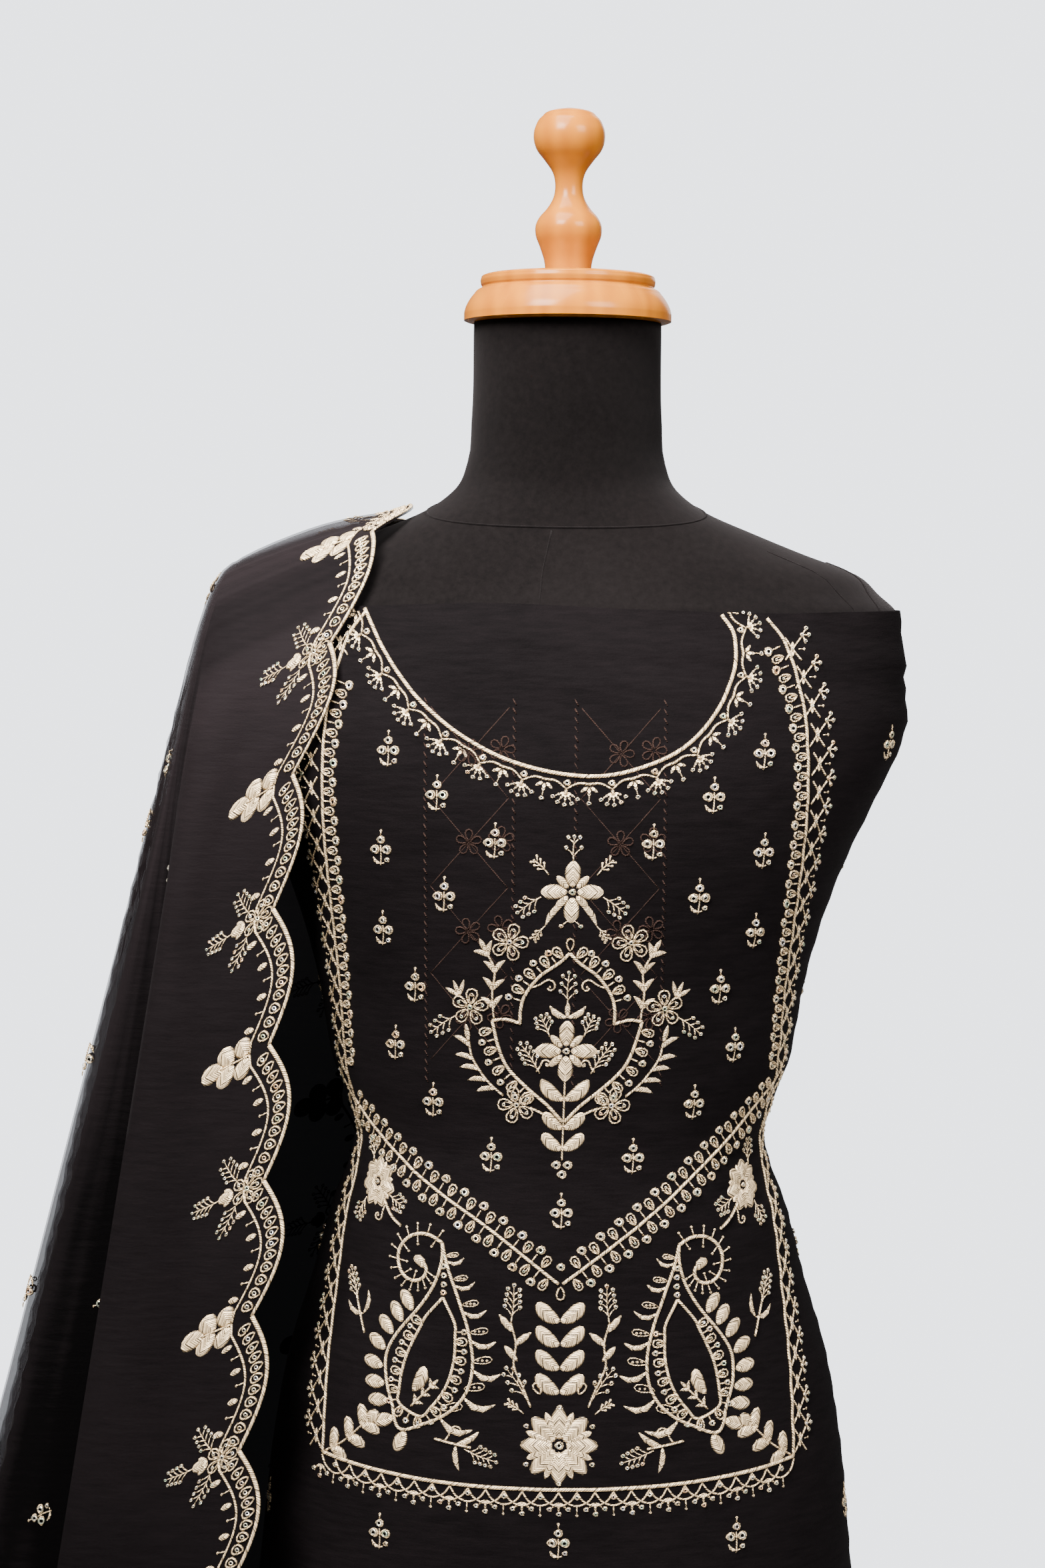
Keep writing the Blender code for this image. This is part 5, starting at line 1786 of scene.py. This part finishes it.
class SUIT_OT_salwar(bpy.types.Operator):
    """Make the belt, seat, legs and cuffs of the salwar"""

    bl_idname = "suit.salwar"
    bl_label = "Salwar"

    def execute(self, context):
        crepe = cloth_material("black crepe", colours().crepe, 0.65, stretch=2.0)
        around = np.arange(108) * 2 * math.pi / 108
        for part, low, high, rows in (("belt", BELT_BOTTOM, BELT_TOP, 8),
                                      ("seat", SEAT_BOTTOM, BELT_BOTTOM - SEAM, 28)):
            levels = np.linspace(low, high, rows)[:, None]
            row = sample(SEAT_ROWS, levels + 0 * around)
            x, y = ring_point(row[..., 1], row[..., 2], row[..., 3], around[None, :])
            outer = np.stack([x, y, levels + 0 * around], axis=-1)
            self.finish_part(f"salwar_{part}", outer, crepe)
        for side, rows in LEG_ROWS.items():
            for part, low, high, count in (("cuff", CUFF_BOTTOM, LEG_BOTTOM - SEAM, 9),
                                           ("leg", LEG_BOTTOM, SEAT_BOTTOM - SEAM, 60)):
                levels = np.linspace(low, high, count)[:, None]
                row = sample(rows, levels + 0 * around)
                fold = 0.0
                if part == "leg":
                    rise = ease((levels - LEG_BOTTOM) / GATHER_RISE)
                    fold = GATHER_DEPTH * rise * np.cos(LEG_GATHERS * around)
                x, y = ring_point(row[..., 2] + fold, row[..., 3] + fold,
                                  row[..., 3] + fold, around[None, :])
                outer = np.stack([x + row[..., 1], y + row[..., 4],
                                  levels + 0 * around], axis=-1)
                self.finish_part(f"salwar_{part}_{side}", outer, crepe)
        return {"FINISHED"}

    def finish_part(self, node, outer, material):
        """One piece of the salwar."""
        piece = wall_piece(node + "_cloth", outer, True, material)
        dress(piece, node, slot="salwar_crepe")


def scalloped_grid():
    """Flat points of the dupatta in rows, drawn out to scallops along its edges."""
    steps, fade = 9, 0.030      # steps in a scallop; how far in the edge is drawn out
    long = DUPATTA_FRONT + DUPATTA_BACK
    u = np.linspace(-DUPATTA_WIDTH, 0.0, round(DUPATTA_WIDTH / SCALLOP) * steps + 1)
    v = np.linspace(-DUPATTA_FRONT, DUPATTA_BACK, round(long / SCALLOP) * steps + 1)

    def bulge(run):
        return SCALLOP_DEPTH * np.abs(np.sin(math.pi * run / SCALLOP))

    def near(run):
        return np.clip(1 - run / fade, 0, 1)

    grid_u, grid_v = np.meshgrid(u, v)
    grid_u = grid_u + bulge(v + DUPATTA_FRONT)[:, None] * (
        near(-u) - near(u + DUPATTA_WIDTH))
    grid_v = grid_v + bulge(u + DUPATTA_WIDTH) * (
        near(DUPATTA_BACK - v) - near(v + DUPATTA_FRONT))[:, None]
    return grid_u, grid_v


class SUIT_OT_dupatta(bpy.types.Operator):
    """Make the scalloped dupatta"""

    bl_idname = "suit.dupatta"
    bl_label = "Dupatta"

    def execute(self, context):
        # The dupatta's colour carries painted light and shade down its folds, painted
        # brightness where it is one layer thin and painted light near the shoulder.
        colour = 0.78 * np.array(colours().georgette)
        cloth = cloth_material("sheer black georgette", colour, 0.70,
                               alpha=0.965, sheen=0.014, folds=1.3)
        flat_u, flat_v = scalloped_grid()
        rows, cols = flat_u.shape
        index = np.arange(rows * cols).reshape(rows, cols)
        rim = np.concatenate([index[0], index[1:, -1], index[-1, -2::-1],
                              index[-2:0:-1, 0]])
        flat_u, flat_v = flat_u.ravel(), flat_v.ravel()
        ground, count = dupatta_ground(), flat_u.size
        outer, inner = (ground.lay(flat_u, flat_v, np.full(count, side * CLOTH / 2))[0]
                        for side in (1, -1))
        # The uv map holds each point's bearing and distance from the shoulder.
        beyond = np.maximum(-flat_u - STRIP, 0.0)
        fall = np.stack([np.arctan2(-flat_v, beyond + 0.02), np.hypot(flat_v, beyond)],
                        axis=-1)
        nxt = np.roll(rim, -1)
        faces = np.concatenate([
            grid_quads(rows, cols, False), grid_quads(rows, cols, False, count, flip=True),
            np.stack([nxt, rim, rim + count, nxt + count], axis=-1)])
        piece = mesh_piece("dupatta_cloth", np.concatenate([outer, inner]),
                           faces.tolist(), cloth, np.tile(fall, (2, 1)),
                           sharp=math.radians(60.0))
        dress(piece, "dupatta", slot="dupatta_georgette")
        return {"FINISHED"}


class SUIT_OT_kameez_needlework(bpy.types.Operator):
    """Embroider the kameez"""

    bl_idname = "suit.kameez_needlework"
    bl_label = "Kameez Needlework"

    def execute(self, context):
        front, ghost = Stitchwork(), Stitchwork()
        medallion(front)
        panel_buttis(front)
        front.lean()
        vee_line(front)
        lower_panel(front)
        bottom_border(front)
        neckline(front)
        for side in (-1, 1):
            side_border(front, side)
        scattered_buttis(front, True)
        under_layer(ghost)
        ground = kameez_ground(0)
        thread = gold_thread()
        front.piece("kameez_front_threads", ground, thread)
        ghost.piece("kameez_under_threads", ground, under_thread(), -0.0005)
        sequin_piece("kameez_front_sequins", front.spots, ground, 0.0008)
        back = Stitchwork()
        scattered_buttis(back, False)
        ground = kameez_ground(1)
        back.piece("kameez_back_threads", ground, thread)
        sequin_piece("kameez_back_sequins", back.spots, ground, 0.0008)
        return {"FINISHED"}


class SUIT_OT_dupatta_needlework(bpy.types.Operator):
    """Embroider the dupatta"""

    bl_idname = "suit.dupatta_needlework"
    bl_label = "Dupatta Needlework"

    def execute(self, context):
        band, field = Stitchwork(), Stitchwork()
        dupatta_border(band, field)
        dupatta_buttis(field)
        ground, thread = dupatta_ground(), gold_thread()
        band.piece("dupatta_band_threads", ground, thread, CLOTH / 2)
        field.piece("dupatta_field_threads", ground, thread, CLOTH / 2)
        sequin_piece("dupatta_sequins", band.spots + field.spots, ground,
                     CLOTH / 2 + 0.0008)
        return {"FINISHED"}


class SUIT_OT_stage(bpy.types.Operator):
    """Set the floor, the light and the camera"""

    bl_idname = "suit.stage"
    bl_label = "Stage"

    def execute(self, context):
        material, tree, shader = new_material("pale floor")
        speck = tree.noise(tree.place(), 30.0)
        tone = tuple(colours().floor)
        shade = tree.mix(speck, (*[0.97 * c for c in tone], 1.0), (*tone, 1.0))
        tree.feed(shader, {"Base Color": shade, "Roughness": 0.9})
        angle = np.arange(96) * 2 * math.pi / 96
        radius = 1.8
        floor = mesh_piece("floor", np.stack([radius * np.cos(angle),
                                              radius * np.sin(angle), 0 * angle], -1),
                           [list(range(96))], material)
        settings = context.scene.suit_stage
        world = bpy.data.worlds.new("studio")
        world.use_nodes = True
        sky = Tree(world.node_tree)
        seen = sky.node("ShaderNodeLightPath").outputs[0]
        strength = sky.node("ShaderNodeMapRange", {
            0: seen, 3: settings.ambient, 4: settings.glow})
        tint = sky.mix(seen, (1.0, 0.985, 0.97, 1.0), (*settings.background, 1.0))
        sky.feed(world.node_tree.nodes["Background"], {0: tint, 1: strength.outputs[0]})
        context.scene.world = world
        for name, place, aim, size, power, spread in (
                ("key", (-0.9, -1.5, 2.7), (0.0, 0.0, 1.37), 1.0, 27.0, 58.0),
                ("fill", (1.2, -1.5, 2.4), (0.0, 0.0, 1.30), 1.0, 14.0, 70.0),
                ("top", (-0.3, -0.4, 2.6), (-0.1, 0.0, 1.30), 0.8, 26.0, 130.0),
                ("back", (0.6, 2.6, 2.6), (0.0, 0.0, 1.20), 1.8, 20.0, 180.0)):
            light = bpy.data.lights.new(name, "AREA")
            light.energy, light.size, light.spread = power, size, math.radians(spread)
            lamp = bpy.data.objects.new(name, light)
            context.scene.collection.objects.link(lamp)
            point_at(lamp, place, aim)
        camera = bpy.data.objects.new("camera", bpy.data.cameras.new("camera"))
        context.scene.collection.objects.link(camera)
        camera.data.lens = settings.lens
        camera.data.sensor_width = 36.0
        point_at(camera, (-0.025, -2.0, 1.38), (-0.025, 0.0, 1.2480), settings.roll)
        context.scene.camera = camera
        return {"FINISHED"}


def point_at(obj, place, aim, roll=0.0):
    """Place an object and turn its -Z axis to a point."""
    way = Vector(aim) - Vector(place)
    obj.location = place
    obj.rotation_mode = "QUATERNION"
    obj.rotation_quaternion = (way.to_track_quat("-Z", "Y")
                               @ Quaternion((0.0, 0.0, 1.0), roll))


class SUIT_PT_panel(bpy.types.Panel):
    """Buttons for each piece of the suit"""

    bl_label = "Embroidered Suit"
    bl_space_type = "VIEW_3D"
    bl_region_type = "UI"
    bl_category = "Suit"

    def draw(self, context):
        column = self.layout.column()
        for operator in STEPS:
            column.operator(operator.bl_idname)
        for group in (context.scene.suit_colours, context.scene.suit_sizes,
                      context.scene.suit_stage):
            for name in group.__annotations__:
                column.prop(group, name)


STEPS = (SUIT_OT_stage, SUIT_OT_form, SUIT_OT_wood, SUIT_OT_salwar, SUIT_OT_kameez,
         SUIT_OT_dupatta, SUIT_OT_kameez_needlework, SUIT_OT_dupatta_needlework)
GROUPS = (("suit_colours", SuitColours), ("suit_sizes", SuitSizes),
          ("suit_stage", SuitStage))


def register():
    """Register the settings, operators and panel."""
    for name, group in GROUPS:
        bpy.utils.register_class(group)
        setattr(bpy.types.Scene, name, bpy.props.PointerProperty(type=group))
    for item in (*STEPS, SUIT_PT_panel):
        bpy.utils.register_class(item)


def unregister():
    """Take them away again."""
    for item in (SUIT_PT_panel, *reversed(STEPS)):
        bpy.utils.unregister_class(item)
    for name, group in reversed(GROUPS):
        delattr(bpy.types.Scene, name)
        bpy.utils.unregister_class(group)


def main():
    """Build every piece."""
    register()
    for step in STEPS:
        group, name = step.bl_idname.split(".")
        getattr(getattr(bpy.ops, group), name)()


if __name__ == "__main__":
    main()
